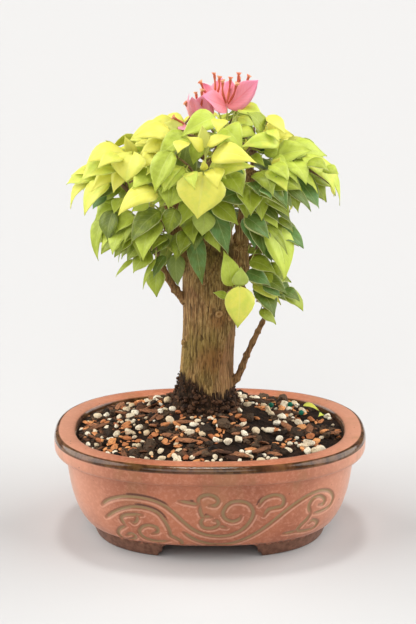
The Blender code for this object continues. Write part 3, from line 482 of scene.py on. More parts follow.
def lump(bm, place, radius, rng, stretch, rough, level, facets=0):
    """A rough grain of about this radius, cut by facets and turned at random; its shade is a mark."""
    made = bmesh.ops.create_icosphere(bm, subdivisions=level, radius=1.0)
    shade = rng.random()
    for cut in range(facets):
        flat, reach = Vector([rng.gauss(0, 1) for _ in range(3)]).normalized(), rng.uniform(0.58, 0.82)
        for vert in made["verts"]:
            vert.co -= flat * max(0.0, vert.co.dot(flat) - reach)
    turn = Quaternion(Vector([rng.uniform(-1, 1) for _ in range(3)]).normalized(), rng.uniform(-0.7, 0.7))
    turn = turn @ Quaternion((0, 0, 1), rng.uniform(0, math.tau))
    for vert in made["verts"]:
        size = radius * rng.uniform(1.0 - rough, 1.0 + rough)
        vert.co = (place + turn @ Vector([a * b * size for a, b in zip(vert.co, stretch)])) * MM
        vert[bm.verts.layers.float["shade"]] = shade


def grain_finish(name, dark, light, roughness, speck):
    """The finish of one kind of grain, from its darkest to its lightest shade."""
    made = Finish(name, roughness, 0.25)
    tone = made.mix(made.mark("shade"), dark, light)
    spots = made.spread(made.grain(700, 4.0, rough=0.7), 0.47, 0.7)
    made.paint(made.mix(spots, tone, speck), made.grain(900, 5.0), 0.6, 0.0005)
    return made.material


# Each kind of grain: how many are tried, its least and greatest radius, its stretch, how rough it is,
# how fine its ball is, how many facets cut it, how near others lie, how far up it sits, how patchy it
# lies, and its finish
Grain = namedtuple("Grain", "name count radius stretch rough level facets spacing sink patchy finish")
GRAINS = (
    Grain("bark_strips", 100, (1.8, 4.8), (1.9, 0.7, 0.28), 0.16, 2, 3, 0.6, 0.35, 0.0,
          ((0.035, 0.014, 0.008, 1), (0.40, 0.17, 0.08, 1), 0.75, (0.03, 0.014, 0.008, 1))),
    Grain("pumice", 190, (1.2, 3.5), (1.3, 0.95, 0.8), 0.06, 2, 9, 0.72, 0.4, 0.7,
          ((0.72, 0.56, 0.35, 1), (0.98, 0.91, 0.74, 1), 0.85, (0.55, 0.42, 0.26, 1))),
    Grain("fired_clay", 250, (0.8, 3.0), (1.5, 0.9, 0.5), 0.16, 2, 7, 0.7, 0.4, 0.6,
          ((0.40, 0.12, 0.045, 1), (0.92, 0.42, 0.16, 1), 0.7, (0.34, 0.12, 0.045, 1))),
    Grain("lava_crumb", 1000, (1.2, 4.0), (1.15, 0.95, 0.8), 0.22, 2, 5, 0.64, 0.15, 0.0,
          ((0.010, 0.006, 0.004, 1), (0.125, 0.075, 0.042, 1), 0.75, (0.002, 0.001, 0.001, 1))),
    Grain("bark_crumb", 1500, (0.6, 1.5), (1.5, 0.9, 0.6), 0.3, 1, 0, 0.5, 0.6, 0.0,
          ((0.012, 0.005, 0.003, 1), (0.15, 0.07, 0.034, 1), 0.8, (0.006, 0.003, 0.002, 1))),
)
# The largest lumps of lava, as (x, y, radius)
LAVA_LUMPS = ((52.0, 50.0, 5.4), (37.0, 56.0, 5.0), (44.0, 45.0, 4.2), (24.0, 58.0, 4.6),
              (68.0, 40.0, 4.0), (26.0, -6.0, 4.6), (-2.0, -26.0, 5.0), (9.0, -20.0, 5.6),
              (58.0, -18.0, 4.8), (-40.0, -38.0, 5.0))
for kind in GRAINS:
    rng = random.Random(kind.count)
    grains = bmesh.new()
    grains.verts.layers.float.new("shade")
    if kind.name == "lava_crumb":
        for x, y, radius in LAVA_LUMPS:
            place = soil_under(x, y) + Vector((0, 0, 0.4 * radius))
            lump(grains, place, radius, rng, kind.stretch, 0.1, 3, 9)
    for i in range(kind.count):
        radius = kind.radius[0] + (kind.radius[1] - kind.radius[0]) * rng.random() ** 1.6
        place = settle(rng, radius, kind.spacing, kind.patchy)
        if place:
            place.z += radius * kind.sink
            lump(grains, place, radius, rng, kind.stretch, kind.rough, kind.level, kind.facets)
    mesh_piece(kind.name, grains, grain_finish(kind.name + "_stuff", *kind.finish), smooth=False)

PELLETS = ((55.8, 32.1), (42.1, 19.8), (62.4, 11.8))
PELLET_RADIUS = 1.85
PELLET_LIFT = 3.4
pellets = bmesh.new()
pellets.verts.layers.float.new("shade")
rng = random.Random(5)
for x, y in PELLETS:
    place = soil_under(x, y)
    place.z += PELLET_LIFT
    lump(pellets, place, PELLET_RADIUS, rng, (1, 1, 1), 0.02, 3)
pellet_coat = grain_finish("pellet_coat", (0.0, 0.10, 0.055, 1), (0.0, 0.17, 0.10, 1), 0.3,
                           (0.0, 0.08, 0.05, 1))
mesh_piece("feed_pellets", pellets, pellet_coat)


# The trunk and its boughs are one piece of old wood with thin, finely fissured bark. The trunk
# was cut back hard and regrown, so it is stout and short, with a few small pruning scars. Its
# foot is dark where damp soil clings to it.
VOXEL = 0.72
# The trunk as (x, y, height, radius), and each bough as its axis and its radius at base and tip
TRUNK_AXIS = ((-3.5, 16, 76, 24.5), (-3.5, 16, 80.3, 22.5), (-3, 16, 87, 20.6), (-2.5, 16, 96, 19.2),
              (-2, 16, 110, 18.2), (-1, 16, 128, 18.0), (0, 16, 146, 18.6), (1, 16, 160, 20.0),
              (1, 16, 173, 19.6), (1, 16.5, 187, 17.0), (2, 17, 201, 13.4), (3, 17, 215, 10.4),
              (4, 17, 227, 8.0))
BOUGHS = {
    "bough_left": (((-9, 15, 168), (-17.5, 13, 190), (-17.5, 9, 222), (-15.5, 5, 253)), 4.6, 3.3),
    "bough_right": (((12, 9, 154), (19.5, 4, 180), (21.5, 5, 205), (25, 7, 232), (27, 8, 246)), 6.2, 3.8),
    "bough_top": (((4, 17, 222), (5, 18, 240), (8, 16, 254)), 5.0, 2.8),
    "bough_front": (((-2, 8, 196), (-3, -6, 212), (-4, -15, 229)), 4.0, 2.4),
    "bough_front_left": (((-17.5, 10, 210), (-23, 0, 226), (-28, -11, 238)), 2.8, 2.0),
    "bough_top_left": (((-16.5, 7, 236), (-21, 13, 247), (-22, 13, 258)), 2.6, 2.0),
    "bough_far_left": (((-17.5, 12, 198), (-34, 8, 213), (-49, 0, 229)), 3.2, 2.0),
    "bough_front_right": (((22, 5, 210), (26, -6, 223), (29, -14, 232)), 2.8, 2.0),
    "bough_far_right": (((24, 7, 224), (37, 6, 236), (47, 4, 244)), 3.0, 2.0),
    "bough_top_back": (((4, 23, 205), (6, 31, 228), (7, 34, 251)), 3.4, 2.2),
    "bough_back": (((2, 24, 190), (2, 38, 212), (1, 45, 229)), 4.0, 2.4),
    "bough_back_left": (((-6, 24, 178), (-22, 36, 203), (-34, 42, 223)), 3.6, 2.2),
    "bough_back_right": (((8, 26, 178), (24, 36, 203), (34, 42, 223)), 3.6, 2.2),
    "bough_low_left": (((-10, 14, 148), (-22, 9, 163), (-30, 5, 178), (-35, 1, 190)), 3.0, 2.0),
    "bough_low_right": (((8, 14, 93), (17.5, 12, 101), (24, 9, 117), (31, 5, 134), (36, 2, 146)), 2.6, 1.8),
    "bough_mid_right": (((10, 20, 166), (29, 17, 184), (37, 9, 196)), 3.0, 2.0),
}
# The soil's height at the trunk, and the lobes of the foot, which fade upwards from there
GROUND = 80.0
FLARE_LOBES = 5
FLARE_DEPTH = 0.075
FLARE_FADE = 22.0
# How high the damp stain stands, as (x across the trunk, height)
STAIN_LINE = ((-21.0, 108.0), (-12.0, 108.0), (-6.0, 102.0), (2.0, 98.0), (9.0, 95.0), (13.0, 98.0),
              (17.0, 102.0))
# Knots and pruning scars as (place, radius, how far they stand out, how pale the cut is)
SCARS = (((6.0, -1.8, 150.6), 2.0, 0.9, 1.0), ((13.4, 3.2, 146.4), 1.7, 0.9, 1.0),
         ((10.8, 1.2, 153.5), 1.3, 0.7, 0.8), ((-17.5, 9.0, 127.1), 2.2, 1.3, 0.0),
         ((-4.0, -2.4, 171.5), 0.9, 0.5, 1.0), ((-14.0, 28.0, 140.0), 2.4, 1.1, 0.6),
         ((12.0, 29.5, 120.0), 2.0, 1.0, 0.4), ((2.0, 34.2, 155.0), 2.6, 1.2, 0.7),
         ((17.0, 20.0, 130.0), 1.6, 0.8, 0.0))
# Patches where the bark is rust red, as (place, radius)
RUSTS = (((2.0, -1.4, 118.0), 15.0), ((6.0, -1.0, 146.0), 10.0), ((-14.0, 6.0, 196.0), 12.0),
         ((-2.0, 34.0, 120.0), 16.0))


def tubes(name, runs, sides):
    """A mesh of round tubes with closed ends, each a list of (place in metres, radius in metres)."""
    curve = bpy.data.curves.new(name, "CURVE")
    curve.dimensions = "3D"
    curve.bevel_depth = 1.0
    curve.bevel_resolution = sides // 2 - 2
    curve.use_fill_caps = True
    for run in runs:
        spline = curve.splines.new("POLY")
        spline.points.add(len(run) - 1)
        for point, (place, radius) in zip(spline.points, run):
            point.co = (*place, 1.0)
            point.radius = radius
    holder = bpy.data.objects.new(name, curve)
    bpy.context.scene.collection.objects.link(holder)
    bpy.context.view_layer.update()
    made = bpy.data.meshes.new_from_object(holder.evaluated_get(bpy.context.evaluated_depsgraph_get()))
    bpy.data.objects.remove(holder)
    bpy.data.curves.remove(curve)
    return made


trunk_points = smooth_path([Vector(row[:3]) for row in TRUNK_AXIS], 6)
trunk_girths = smooth_path([Vector((row[3], 0, 0)) for row in TRUNK_AXIS], 6)
# The limbs are drawn a little thin, as the bark's relief makes them thicker
limb_runs = [[(point * MM, girth.x * 0.975 * MM) for point, girth in zip(trunk_points, trunk_girths)]]
for axis, base, tip in BOUGHS.values():
    path = smooth_path([Vector(point) for point in axis], 10)
    run = []
    for i, point in enumerate(path):
        share = i / (len(path) - 1)
        knots = max(0.0, math.sin(i * 1.15 + len(limb_runs))) ** 5
        swell = 0.96 + 0.5 * math.exp(-share * 9.0) + 0.4 * knots
        run.append((point * MM, (base + (tip - base) * share) * swell * MM * 0.97))
    limb_runs.append(run)
wood_data = tubes("wood", limb_runs, 40)
wood = bpy.data.objects.new("wood_bark", wood_data)
bpy.context.scene.collection.objects.link(wood)
for vert in wood_data.vertices:
    x, y, z = vert.co / MM
    across = Vector((x - TRUNK_FOOT[0], y - TRUNK_FOOT[1], 0.0))
    if z < 140.0 and across.length < 30.0:
        turn = math.atan2(across.y, across.x)
        fade = math.exp(-max(0.0, z - GROUND) / FLARE_FADE)
        vert.co += across * (FLARE_DEPTH * fade * math.cos(FLARE_LOBES * turn + 0.6)) * MM
remesh = wood.modifiers.new("skin", "REMESH")
remesh.mode = "VOXEL"
remesh.voxel_size = VOXEL * MM
bpy.context.view_layer.update()
skin = bpy.data.meshes.new_from_object(wood.evaluated_get(bpy.context.evaluated_depsgraph_get()))
bpy.data.objects.remove(wood)

limb_tree = kdtree.KDTree(sum(len(run) for run in limb_runs))
limb_girths = []
for run in limb_runs:
    for place, radius in run:
        limb_tree.insert(place, len(limb_girths))
        limb_girths.append(radius / MM)
limb_tree.balance()

bark_mesh = bmesh.new()
bark_mesh.from_mesh(skin)
bpy.data.meshes.remove(skin)
for repeat in range(2):
    bmesh.ops.smooth_vert(bark_mesh, verts=bark_mesh.verts, factor=0.5,
                          use_axis_x=True, use_axis_y=True, use_axis_z=True)
marks = {name: bark_mesh.verts.layers.float.new(name)
         for name in ("crack", "stain", "rust", "scar", "young")}
bark_mesh.normal_update()
moves = []
for vert in bark_mesh.verts:
    x, y, z = vert.co / MM
    girth = limb_girths[limb_tree.find(vert.co)[1]]
    stout = min(1.0, girth / 17.0)
    weave = noise.noise(Vector((x * 0.11, y * 0.11, z * 0.045)))
    fine = noise.noise(Vector((x * 1.05 + weave, y * 1.05, z * 0.12)))
    broad = noise.noise(Vector((x * 0.3, y * 0.3 + weave, z * 0.05 + 9.0)))
    crack = max(0.0, 1.0 - abs(fine) * 3.6)
    groove = max(0.0, 1.0 - abs(broad) * 6.0)
    lift = (0.25 + 0.75 * stout) * (0.34 - 0.6 * crack - 0.3 * groove) + 0.5 * stout * weave
    vert[marks["crack"]] = min(1.0, 0.7 * crack + 0.4 * groove)
    edge = between(STAIN_LINE, x) + 5.0 * noise.noise(Vector((x * 0.16, y * 0.16, 3.0))) + 7.0 * fine
    vert[marks["stain"]] = max(0.0, min(1.0, (edge - z) / 5.0)) if girth > 6.0 or z < 96.0 else 0.0
    rusts = [1.0 - (vert.co / MM - Vector(place)).length / size for place, size in RUSTS]
    vert[marks["rust"]] = max(0.0, *rusts)
    vert[marks["young"]] = max(0.0, min(1.0, 1.6 - girth / 2.8))
    if z < edge and girth > 6.0:
        lumpy = noise.noise(Vector((x * 0.33, y * 0.33, z * 0.33))) + 0.3
        lift += 1.4 * lumpy * min(1.0, (edge - z) / 10.0)
    for place, size, rise, pale in SCARS:
        away = (vert.co / MM - Vector(place)).length / size
        if away < 1.9:
            callus = rise * math.exp(-((away - 1.0) / 0.34) ** 2)
            lift += callus - 0.35 * size * max(0.0, 1.0 - away / 0.8) * 0.6
            vert[marks["scar"]] = max(vert[marks["scar"]], pale * max(0.0, 1.0 - abs(away - 0.85) / 0.5))
            circle = 1.0 - abs(away - 1.55) / 0.35
            vert[marks["crack"]] = max(vert[marks["crack"]], circle, 0.8 - away * 1.6)
    moves.append(vert.normal * lift * MM)
for vert, move in zip(bark_mesh.verts, moves):
    vert.co += move
    vert.co.z = max(vert.co.z, TRUNK_AXIS[0][2] * MM)

bark = Finish("old_bark", 0.88, 0.25)
fibre = bark.grain(1.0, 6.0, stretch=(1300, 1300, 140), rough=0.62)
ridge = bark.grain(1.0, 3.0, stretch=(900, 900, 62), rough=0.5)
patch = bark.spread(bark.grain(60, 3.0), 0.38, 0.62)
tone = bark.mix(patch, (0.24, 0.125, 0.042, 1), (0.33, 0.195, 0.068, 1))
# Lighter raised fibres and darker low ridges and cracks are partly the bark's own colour, partly painted
# highlight and painted shade
tone = bark.mix(bark.spread(fibre, 0.42, 0.66), tone, (0.52, 0.35, 0.14, 1))
olive = bark.spread(bark.grain(36, 3.0, stretch=(1, 1, 0.5)), 0.44, 0.6, 0.0, 0.6)
tone = bark.mix(olive, tone, (0.21, 0.16, 0.035, 1))
tone = bark.mix(bark.spread(bark.mark("rust"), 0.0, 0.8, 0.0, 0.6), tone, (0.27, 0.11, 0.035, 1))
tone = bark.mix(bark.spread(bark.mark("young"), 0.0, 1.0, 0.0, 0.7), tone, (0.30, 0.15, 0.07, 1))
tone = bark.mix(bark.spread(ridge, 0.38, 0.49, 0.62, 0.0), tone, (0.06, 0.03, 0.012, 1))
tone = bark.mix(bark.spread(bark.mark("crack"), 0.3, 1.0, 0.0, 0.6), tone, (0.05, 0.026, 0.012, 1))
tone = bark.mix(bark.mark("scar"), tone, (0.60, 0.36, 0.15, 1))
damp_wood = bark.mix(bark.spread(fibre, 0.45, 0.7), (0.008, 0.004, 0.0025, 1), (0.09, 0.035, 0.014, 1))
tone = bark.mix(bark.spread(bark.mark("stain"), 0.1, 0.9, 0.0, 0.96), tone, damp_wood)
relief = bark.reckon("ADD", fibre, bark.spread(ridge, 0.36, 0.5))
bark.paint(tone, relief, 0.6, 0.0007)
wood = mesh_piece("wood_bark", bark_mesh, bark.material)
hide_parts("trunk", *BOUGHS)

# Damp crumbs cling to the foot up to the stain's line, most of them low down
CRUMBS = 620
trunk_radii = [(row[2], row[3]) for row in TRUNK_AXIS]
rng = random.Random(17)
clinging = bmesh.new()
clinging.verts.layers.float.new("shade")
for i in range(CRUMBS):
    turn = rng.uniform(0, math.tau)
    top = between(STAIN_LINE, TRUNK_FOOT[0] + 19.0 * math.cos(turn)) - 4.0
    up = GROUND - 1.5 + (top - GROUND) * rng.random() ** 1.8
    radius = rng.uniform(0.6, 2.1) * (1.25 - (up - GROUND) / 26.0)
    away = between(trunk_radii, up) + 0.3 * radius
    place = Vector((TRUNK_FOOT[0] + 0.5 + away * math.cos(turn), TRUNK_FOOT[1] + away * math.sin(turn), up))
    lump(clinging, place, radius, rng, (1.2, 0.9, 0.8), 0.3, 1)
mesh_piece("clinging_soil", clinging, bpy.data.materials["bark_crumb_stuff"], smooth=False)


# The crown is seventeen masses of shoots. From each bough's end, and in three places from the
# trunk, a woody stem runs into its mass, where shoots fan out and carry leaves on short green
# stalks. Finer side twigs with small leaves and tufts of young ones fill the same room.
GAP = 0.3
GOLDEN_TURN = math.pi * (3.0 - math.sqrt(5.0))
# The leaf of the solids, thicker than the one drawn here, by which the room for each is judged
LEAF_THICK = 0.7
STALK_RADIUS = 0.4
LEAF_OUTLINE = ((0.22, 0.94), (0.62, 0.68))
LEAF_LENGTH = (20.0, 29.0)
LEAF_WIDTH = (0.54, 0.7)
LEAF_ARCH = (0.05, 0.2)
LEAF_STAND = (4.0, 7.5)
SHARPEST = -0.1
# The shoots: their radius at base and tip, how far into the mass they reach, how they spread and
# rise, where they fork from the stem, and how their leaves are spaced and tried
TWIG_RADIUS = (1.5, 1.1)
SHOOT_REACH = 0.66
SHOOT_SPAN = 1.5
SHOOT_LIFT = 0.1
FORK_START = 0.3
LEAF_STEP = 5.0
LAST_LEAF = 0.9
LEAF_TRIES = 20
TRY_TURN = 0.45
CLEARANCE = 0.45
# A listed leaf gets a side twig where its own is further off than this
LEAD_REACH = 11.0
LEAD_STALK = 5.5
ROOT_SHARES = (0.36, 0.58, 0.72, 0.88)
# Each mass: what it grows from, its stem's start where that is the trunk, the stem's end, its middle
# and its reach, how many shoots it has, how its leaves droop, its seed and its leads. A lead is a listed
# leaf: where its blade starts, its tip, its width, its arch as a share of its length, and its
# tone from 0, bluish, over green to 1, yellow
Mass = namedtuple("Mass", "name parent root hub centre reach shoots droop seed leads")
MASSES = (
    Mass("foliage_front", "bough_front", None,
         (-4, -25, 246), (-4, -30, 252), (33, 23, 30), 5, 0.7, 2,
         (((-4, -42, 252), (-8, -48, 226), 31, 0.06, 0.95),
          ((-3, -32, 268), (-5, -30, 282), 9, 0.02, 1.0),
          ((-2, -32, 270), (13, -36, 276), 8, 0.1, 1.0),
          ((-4, -32, 267), (-14, -38, 276), 9, 0.1, 0.95),
          ((1, -32, 263), (29, -44, 261), 16, 0.22, 1.0),
          ((-1, -28, 250), (28, -40, 258), 14, 0.16, 0.86),
          ((3, -14, 284), (-18, -24, 274), 16, 0.12, 0.72))),
    Mass("foliage_front_left", "bough_front_left", None,
         (-31, -20, 252), (-33, -24, 251), (30, 24, 29), 5, 0.7, 6,
         (((-24, -34, 266), (-35, -42, 241), 16, 0.12, 0.62),
          ((-33, -36, 241), (-58, -42, 227), 16, 0.28, 0.97),
          ((-24, -14, 273), (-50, -26, 273), 15, 0.16, 0.95),
          ((-14, -20, 273), (-33, -34, 262), 16, 0.1, 0.6),
          ((-17, -10, 246), (-14, -8, 269), 19, 0.05, 0.3))),
    Mass("foliage_left", "bough_far_left", None,
         (-60, -6, 242), (-64, -4, 243), (30, 34, 29), 6, 0.75, 7,
         (((-49, -26, 262), (-53, -32, 246), 26, 0.08, 0.92),
          ((-65, -14, 242), (-81, -20, 222), 17, 0.14, 0.88),
          ((-75, -2, 243), (-91, -8, 224), 10, 0.18, 0.92),
          ((-67, 0, 245), (-90, -4, 245), 12, 0.14, 0.95),
          ((-48, -18, 261), (-54, -20, 273), 8, 0.05, 1.0))),
    Mass("foliage_top_left", "bough_top_left", None,
         (-22, 12, 268), (-22, 12, 268), (32, 30, 19), 6, 0.45, 5,
         (((-19, 0, 272), (-29, -4, 279), 13, 0.1, 0.97),)),
    Mass("foliage_top_right", "bough_right", None,
         (29, 10, 260), (30, 12, 265), (30, 30, 21), 8, 0.5, 9,
         (((34, -1, 274), (24, -5, 286), 16, 0.08, 0.5),
          ((37, 5, 281), (49, 0, 271), 13, 0.1, 0.97),
          ((44, -8, 267), (19, -14, 265), 13, 0.14, 0.8))),
    Mass("foliage_right", "bough_far_right", None,
         (56, 2, 249), (61, 2, 246), (28, 34, 28), 6, 0.75, 34,
         (((40, -16, 249), (59, -20, 238), 13, 0.14, 0.5),
          ((46, -8, 253), (70, -12, 235), 12, 0.16, 0.78),
          ((59, -4, 256), (82, -6, 232), 12, 0.16, 0.82),
          ((62, 4, 257), (86, 2, 224), 12, 0.18, 0.8),
          ((44, -4, 257), (65, -8, 262), 18, 0.08, 0.74))),
    Mass("foliage_front_right", "bough_front_right", None,
         (29, -22, 241), (30, -25, 238), (29, 23, 27), 5, 0.8, 11,
         (((22, -24, 238), (5, -30, 234), 17, 0.12, 0.18),
          ((27, -26, 244), (49, -34, 229), 16, 0.16, 0.34),
          ((3, -24, 231), (18, -30, 218), 14, 0.1, 0.5),
          ((29, -24, 236), (33, -32, 221), 12, 0.1, 0.5))),
    Mass("foliage_top_back", "bough_top_back", None,
         (7, 38, 259), (8, 40, 264), (30, 24, 21), 8, 0.5, 79, ()),
    Mass("foliage_back", "bough_back", None,
         (0, 54, 244), (0, 54, 248), (34, 23, 28), 8, 0.7, 18, ()),
    Mass("foliage_back_left", "bough_back_left", None,
         (-43, 44, 237), (-48, 42, 240), (32, 32, 30), 6, 0.75, 1, ()),
    Mass("foliage_back_right", "bough_back_right", None,
         (43, 44, 237), (48, 42, 240), (32, 32, 30), 6, 0.75, 12, ()),
    Mass("foliage_low_left", "bough_low_left", None,
         (-42, -5, 202), (-48, -4, 204), (32, 32, 29), 5, 1.15, 13,
         (((-69, -4, 218), (-74, -6, 188), 12, 0.1, 0.55),
          ((-62, -14, 223), (-66, -18, 204), 16, 0.1, 0.3),
          ((-32, -22, 225), (-51, -28, 206), 17, 0.12, 0.33),
          ((-22, -26, 227), (-27, -28, 211), 14, 0.1, 0.38),
          ((-22, -8, 193), (-21, -10, 172), 13, 0.08, 0.26))),
    Mass("foliage_low_front", "trunk", (-8, 12, 190),
         (-8, -12, 210), (-2, -16, 208), (26, 16, 32), 5, 1.2, 18,
         (((-3, -26, 225), (-5, -28, 210), 15, 0.08, 0.58),
          ((1, -20, 227), (12, -24, 197), 15, 0.1, 0.12),
          ((-10, -12, 208), (-5, -15, 174), 12.5, 0.08, 0.14))),
    Mass("foliage_low_right", "bough_mid_right", None,
         (41, 1, 205), (43, -2, 204), (26, 30, 29), 5, 1.1, 1,
         (((38, -12, 213), (49, -18, 178), 22, 0.14, 0.74),
          ((24, -16, 222), (38, -20, 206), 17, 0.1, 0.45))),
    Mass("foliage_low_back", "trunk", (1, 22, 184),
         (-1, 46, 204), (-1, 50, 205), (38, 24, 30), 6, 1.1, 1597, ()),
    Mass("foliage_foot_right", "bough_low_right", None,
         (38, -1, 160), (42, -3, 164), (22, 20, 22), 6, 0.8, 3,
         (((24, -9, 181), (40, -13, 173), 12, 0.12, 0.1),
          ((28, -4, 171), (47, -8, 159), 11, 0.18, 0.86),
          ((33, -2, 153), (44, -4, 144), 10, 0.1, 0.55),
          ((50, -4, 166), (62, -6, 154), 13, 0.12, 0.52))),
    Mass("foliage_trunk_shoot", "trunk", (5, 6, 158),
         (18, -18, 174), (14, -20, 172), (18, 12, 28), 1, 0.9, 4181,
         (((14, -20, 175), (9, -18, 198), 14, 0.1, 0.68),
          ((19, -24, 175), (18, -26, 148), 20, 0.08, 0.9),
          ((19, -22, 176), (20, -21, 188), 11, 0.06, 0.6),
          ((11, -18, 167), (2, -18, 170), 6, 0.1, 0.45))),
)
Leaf = namedtuple("Leaf", "root base tip facing width arch outline tone")
Growth = namedtuple("Growth", "twigs leaves wood blades sprigs")


def mm(point):
    """A place in millimetres as a vector in metres."""
    return Vector(point) * MM


def leaf_frame(leaf):
    """The blade's axis, its face direction and its side direction."""
    axis = (leaf.tip - leaf.base).normalized()
    face = (leaf.facing - axis * leaf.facing.dot(axis)).normalized()
    return axis, face, axis.cross(face)


def leaf_bend(leaf):
    """How far the blade goes on from its stalk: 1 in line, 0 square to it."""
    return (leaf.tip - leaf.base).normalized().dot((leaf.base - leaf.root).normalized())


def stalk_rings(leaf, radius):
    """Where the stalk leaves its twig and where the blade starts, as (place, up, across)."""
    axis, face, side = leaf_frame(leaf)
    turn = axis.rotation_difference((leaf.base - leaf.root).normalized())
    half_turn = Quaternion().slerp(turn, 0.5)
    return [(place, bend @ face * radius * MM, bend @ side * radius * MM)
            for place, bend in ((leaf.root, turn), (leaf.base, half_turn))]


def blade_middle(leaf, face, share):
    """The underside of the midrib at a share of the blade's length."""
    rise = leaf.arch * (leaf.tip - leaf.base).length * 4 * share * (1 - share)
    return leaf.base.lerp(leaf.tip, share) + face * rise


def leaf_rings(leaf):
    """The leaf as three-cornered rings, with its midrib as a ridge: its stalk, then the blade."""
    face, side = leaf_frame(leaf)[1:]
    rings = []
    for place, up, across in stalk_rings(leaf, STALK_RADIUS):
        rings.append([place + up, place + across - up * 0.6, place - across - up * 0.6])
    for share, width in leaf.outline:
        middle = blade_middle(leaf, face, share)
        reach = side * leaf.width / 2 * width
        rings.append([middle + face * LEAF_THICK * MM, middle + reach, middle - reach])
    rings.append([leaf.tip])
    return rings


def leaf_space(leaf, stalk=True):
    """The room the leaf needs, with clearance all round, as four-cornered rings."""
    axis, face, side = leaf_frame(leaf)
    spare = CLEARANCE * MM
    rings = []
    for place, up, across in stalk_rings(leaf, STALK_RADIUS + CLEARANCE):
        rings.append([place + up, place + across, place - up, place - across])
    if not stalk:
        rings.pop(0)
    top, under = face * (LEAF_THICK * MM + spare), face * -spare
    stations = [(blade_middle(leaf, face, share), leaf.width / 2 * width) for share, width in leaf.outline]
    for middle, half_width in stations + [(leaf.tip + axis * spare, 0.0)]:
        reach = side * (half_width + spare)
        rings.append([middle + top + reach, middle + under + reach,
                      middle + under - reach, middle + top - reach])
    return rings


def ring_tree(rings):
    """A search tree of the surface through rings, in millimetres."""
    points = [point / MM for ring in rings for point in ring]
    faces = []
    start = 0
    for lower, upper in zip(rings, rings[1:]):
        count = len(lower)
        after = start + count
        for i in range(count):
            j = (i + 1) % count
            if len(upper) == 1:
                faces.append((start + i, start + j, after))
            else:
                faces.append((start + i, start + j, after + j, after + i))
        start = after
    centre = sum(points, Vector()) / len(points)
    radius = max((point - centre).length for point in points)
    return BVHTree.FromPolygons(points, faces), centre, radius


def twig_rings(path, base, tip, spare=0.0):
    """Three-cornered rings along a twig, radii in millimetres."""
    rings = []
    side = (path[1] - path[0]).orthogonal()
    for i, point in enumerate(path):
        ahead = (path[min(i + 1, len(path) - 1)] - path[max(i - 1, 0)]).normalized()
        side = (side - ahead * side.dot(ahead)).normalized()
        up = side.cross(ahead)
        radius = (base + (tip - base) * i / (len(path) - 1) + spare) * MM
        ring = []
        for k in range(3):
            angle = math.tau * k / 3
            ring.append(point + (side * math.cos(angle) + up * math.sin(angle)) * radius)
        rings.append(ring)
    return rings


def mesh_tree(made):
    """A search tree of an object's mesh, in millimetres."""
    points = [vert.co / MM for vert in made.data.vertices]
    tree = BVHTree.FromPolygons(points, [tuple(face.vertices) for face in made.data.polygons])
    centre = sum(points, Vector()) / len(points)
    return tree, centre, max((point - centre).length for point in points)


def touches(rings, others):
    """Whether the surface through rings crosses any of the others."""
    tree, centre, radius = ring_tree(rings)
    for other, other_centre, other_radius in others:
        if (other_centre - centre).length < radius + other_radius and tree.overlap(other):
            return True
    return False


def outward(point):
    """The level direction from the trunk's axis to a point."""
    return Vector((point.x, point.y - TRUNK_FOOT[1] * MM, 0.0)).normalized()


def inside(mass, point):
    """Whether a point is in the mass's own space."""
    away = point - mm(mass.centre)
    return sum((away[i] / (mass.reach[i] * MM)) ** 2 for i in range(3)) <= 1.0


def along(path, share):
    """The place at a share of the way along a path's points."""
    index = min(int(share * (len(path) - 1)), len(path) - 2)
    return path[index].lerp(path[index + 1], share * (len(path) - 1) - index)


def nearest(twigs, point):
    """The place inside the twigs that is nearest to a point, away from where they start and end."""
    places = [along(path, share) for path in twigs for share in ROOT_SHARES]
    return min(places, key=lambda place: (place - point).length)


def make_lead(lead, twigs):
    """A listed leaf; where no twig is near its blade, a side twig reaches out to it."""
    base, tip, width, arch, tone = mm(lead[0]), mm(lead[1]), lead[2], lead[3], lead[4]
    axis = (tip - base).normalized()
    start = nearest(twigs, base)
    if (base - start).length > LEAD_REACH * MM or axis.dot((base - start).normalized()) < SHARPEST:
        stalk = (base - start).normalized() + axis * 0.8
        end = base - stalk.normalized() * LEAD_STALK * MM
        middle = start.lerp(end, 0.5) + Vector((0, 0, SHOOT_LIFT * (end - start).length))
        twigs.append([start, middle, end])
        start = along(twigs[-1], ROOT_SHARES[-1])
    facing = outward(base) * 0.9 + Vector((0, 0, 0.7))
    return Leaf(start, base, tip, facing, width * MM, arch, LEAF_OUTLINE, tone)


def make_leaf(place, ahead, number, mass, rng, size=1.0):
    """A leaf that stands off its shoot, then bends out and down."""
    away = outward(place)
    side = ahead.cross(Vector((0, 0, 1))).normalized()
    up = side.cross(ahead)
    angle = number * GOLDEN_TURN + rng.uniform(-0.4, 0.4)
    stand = side * math.cos(angle) + up * math.sin(angle) * 0.6 + ahead * 0.5
    base = place + stand.normalized() * rng.uniform(*LEAF_STAND) * size * MM
    length = rng.uniform(*LEAF_LENGTH) * size * MM
    lean = stand * 0.55 + away * 0.75 + Vector((0, 0, -mass.droop * rng.uniform(0.6, 1.2)))
    tip = base + lean.normalized() * length
    facing = away * 0.7 + Vector((0, 0, 0.8)) + side * rng.uniform(-0.5, 0.5)
    return Leaf(place, base, tip, facing, length * rng.uniform(*LEAF_WIDTH),
                rng.uniform(*LEAF_ARCH), LEAF_OUTLINE, None)


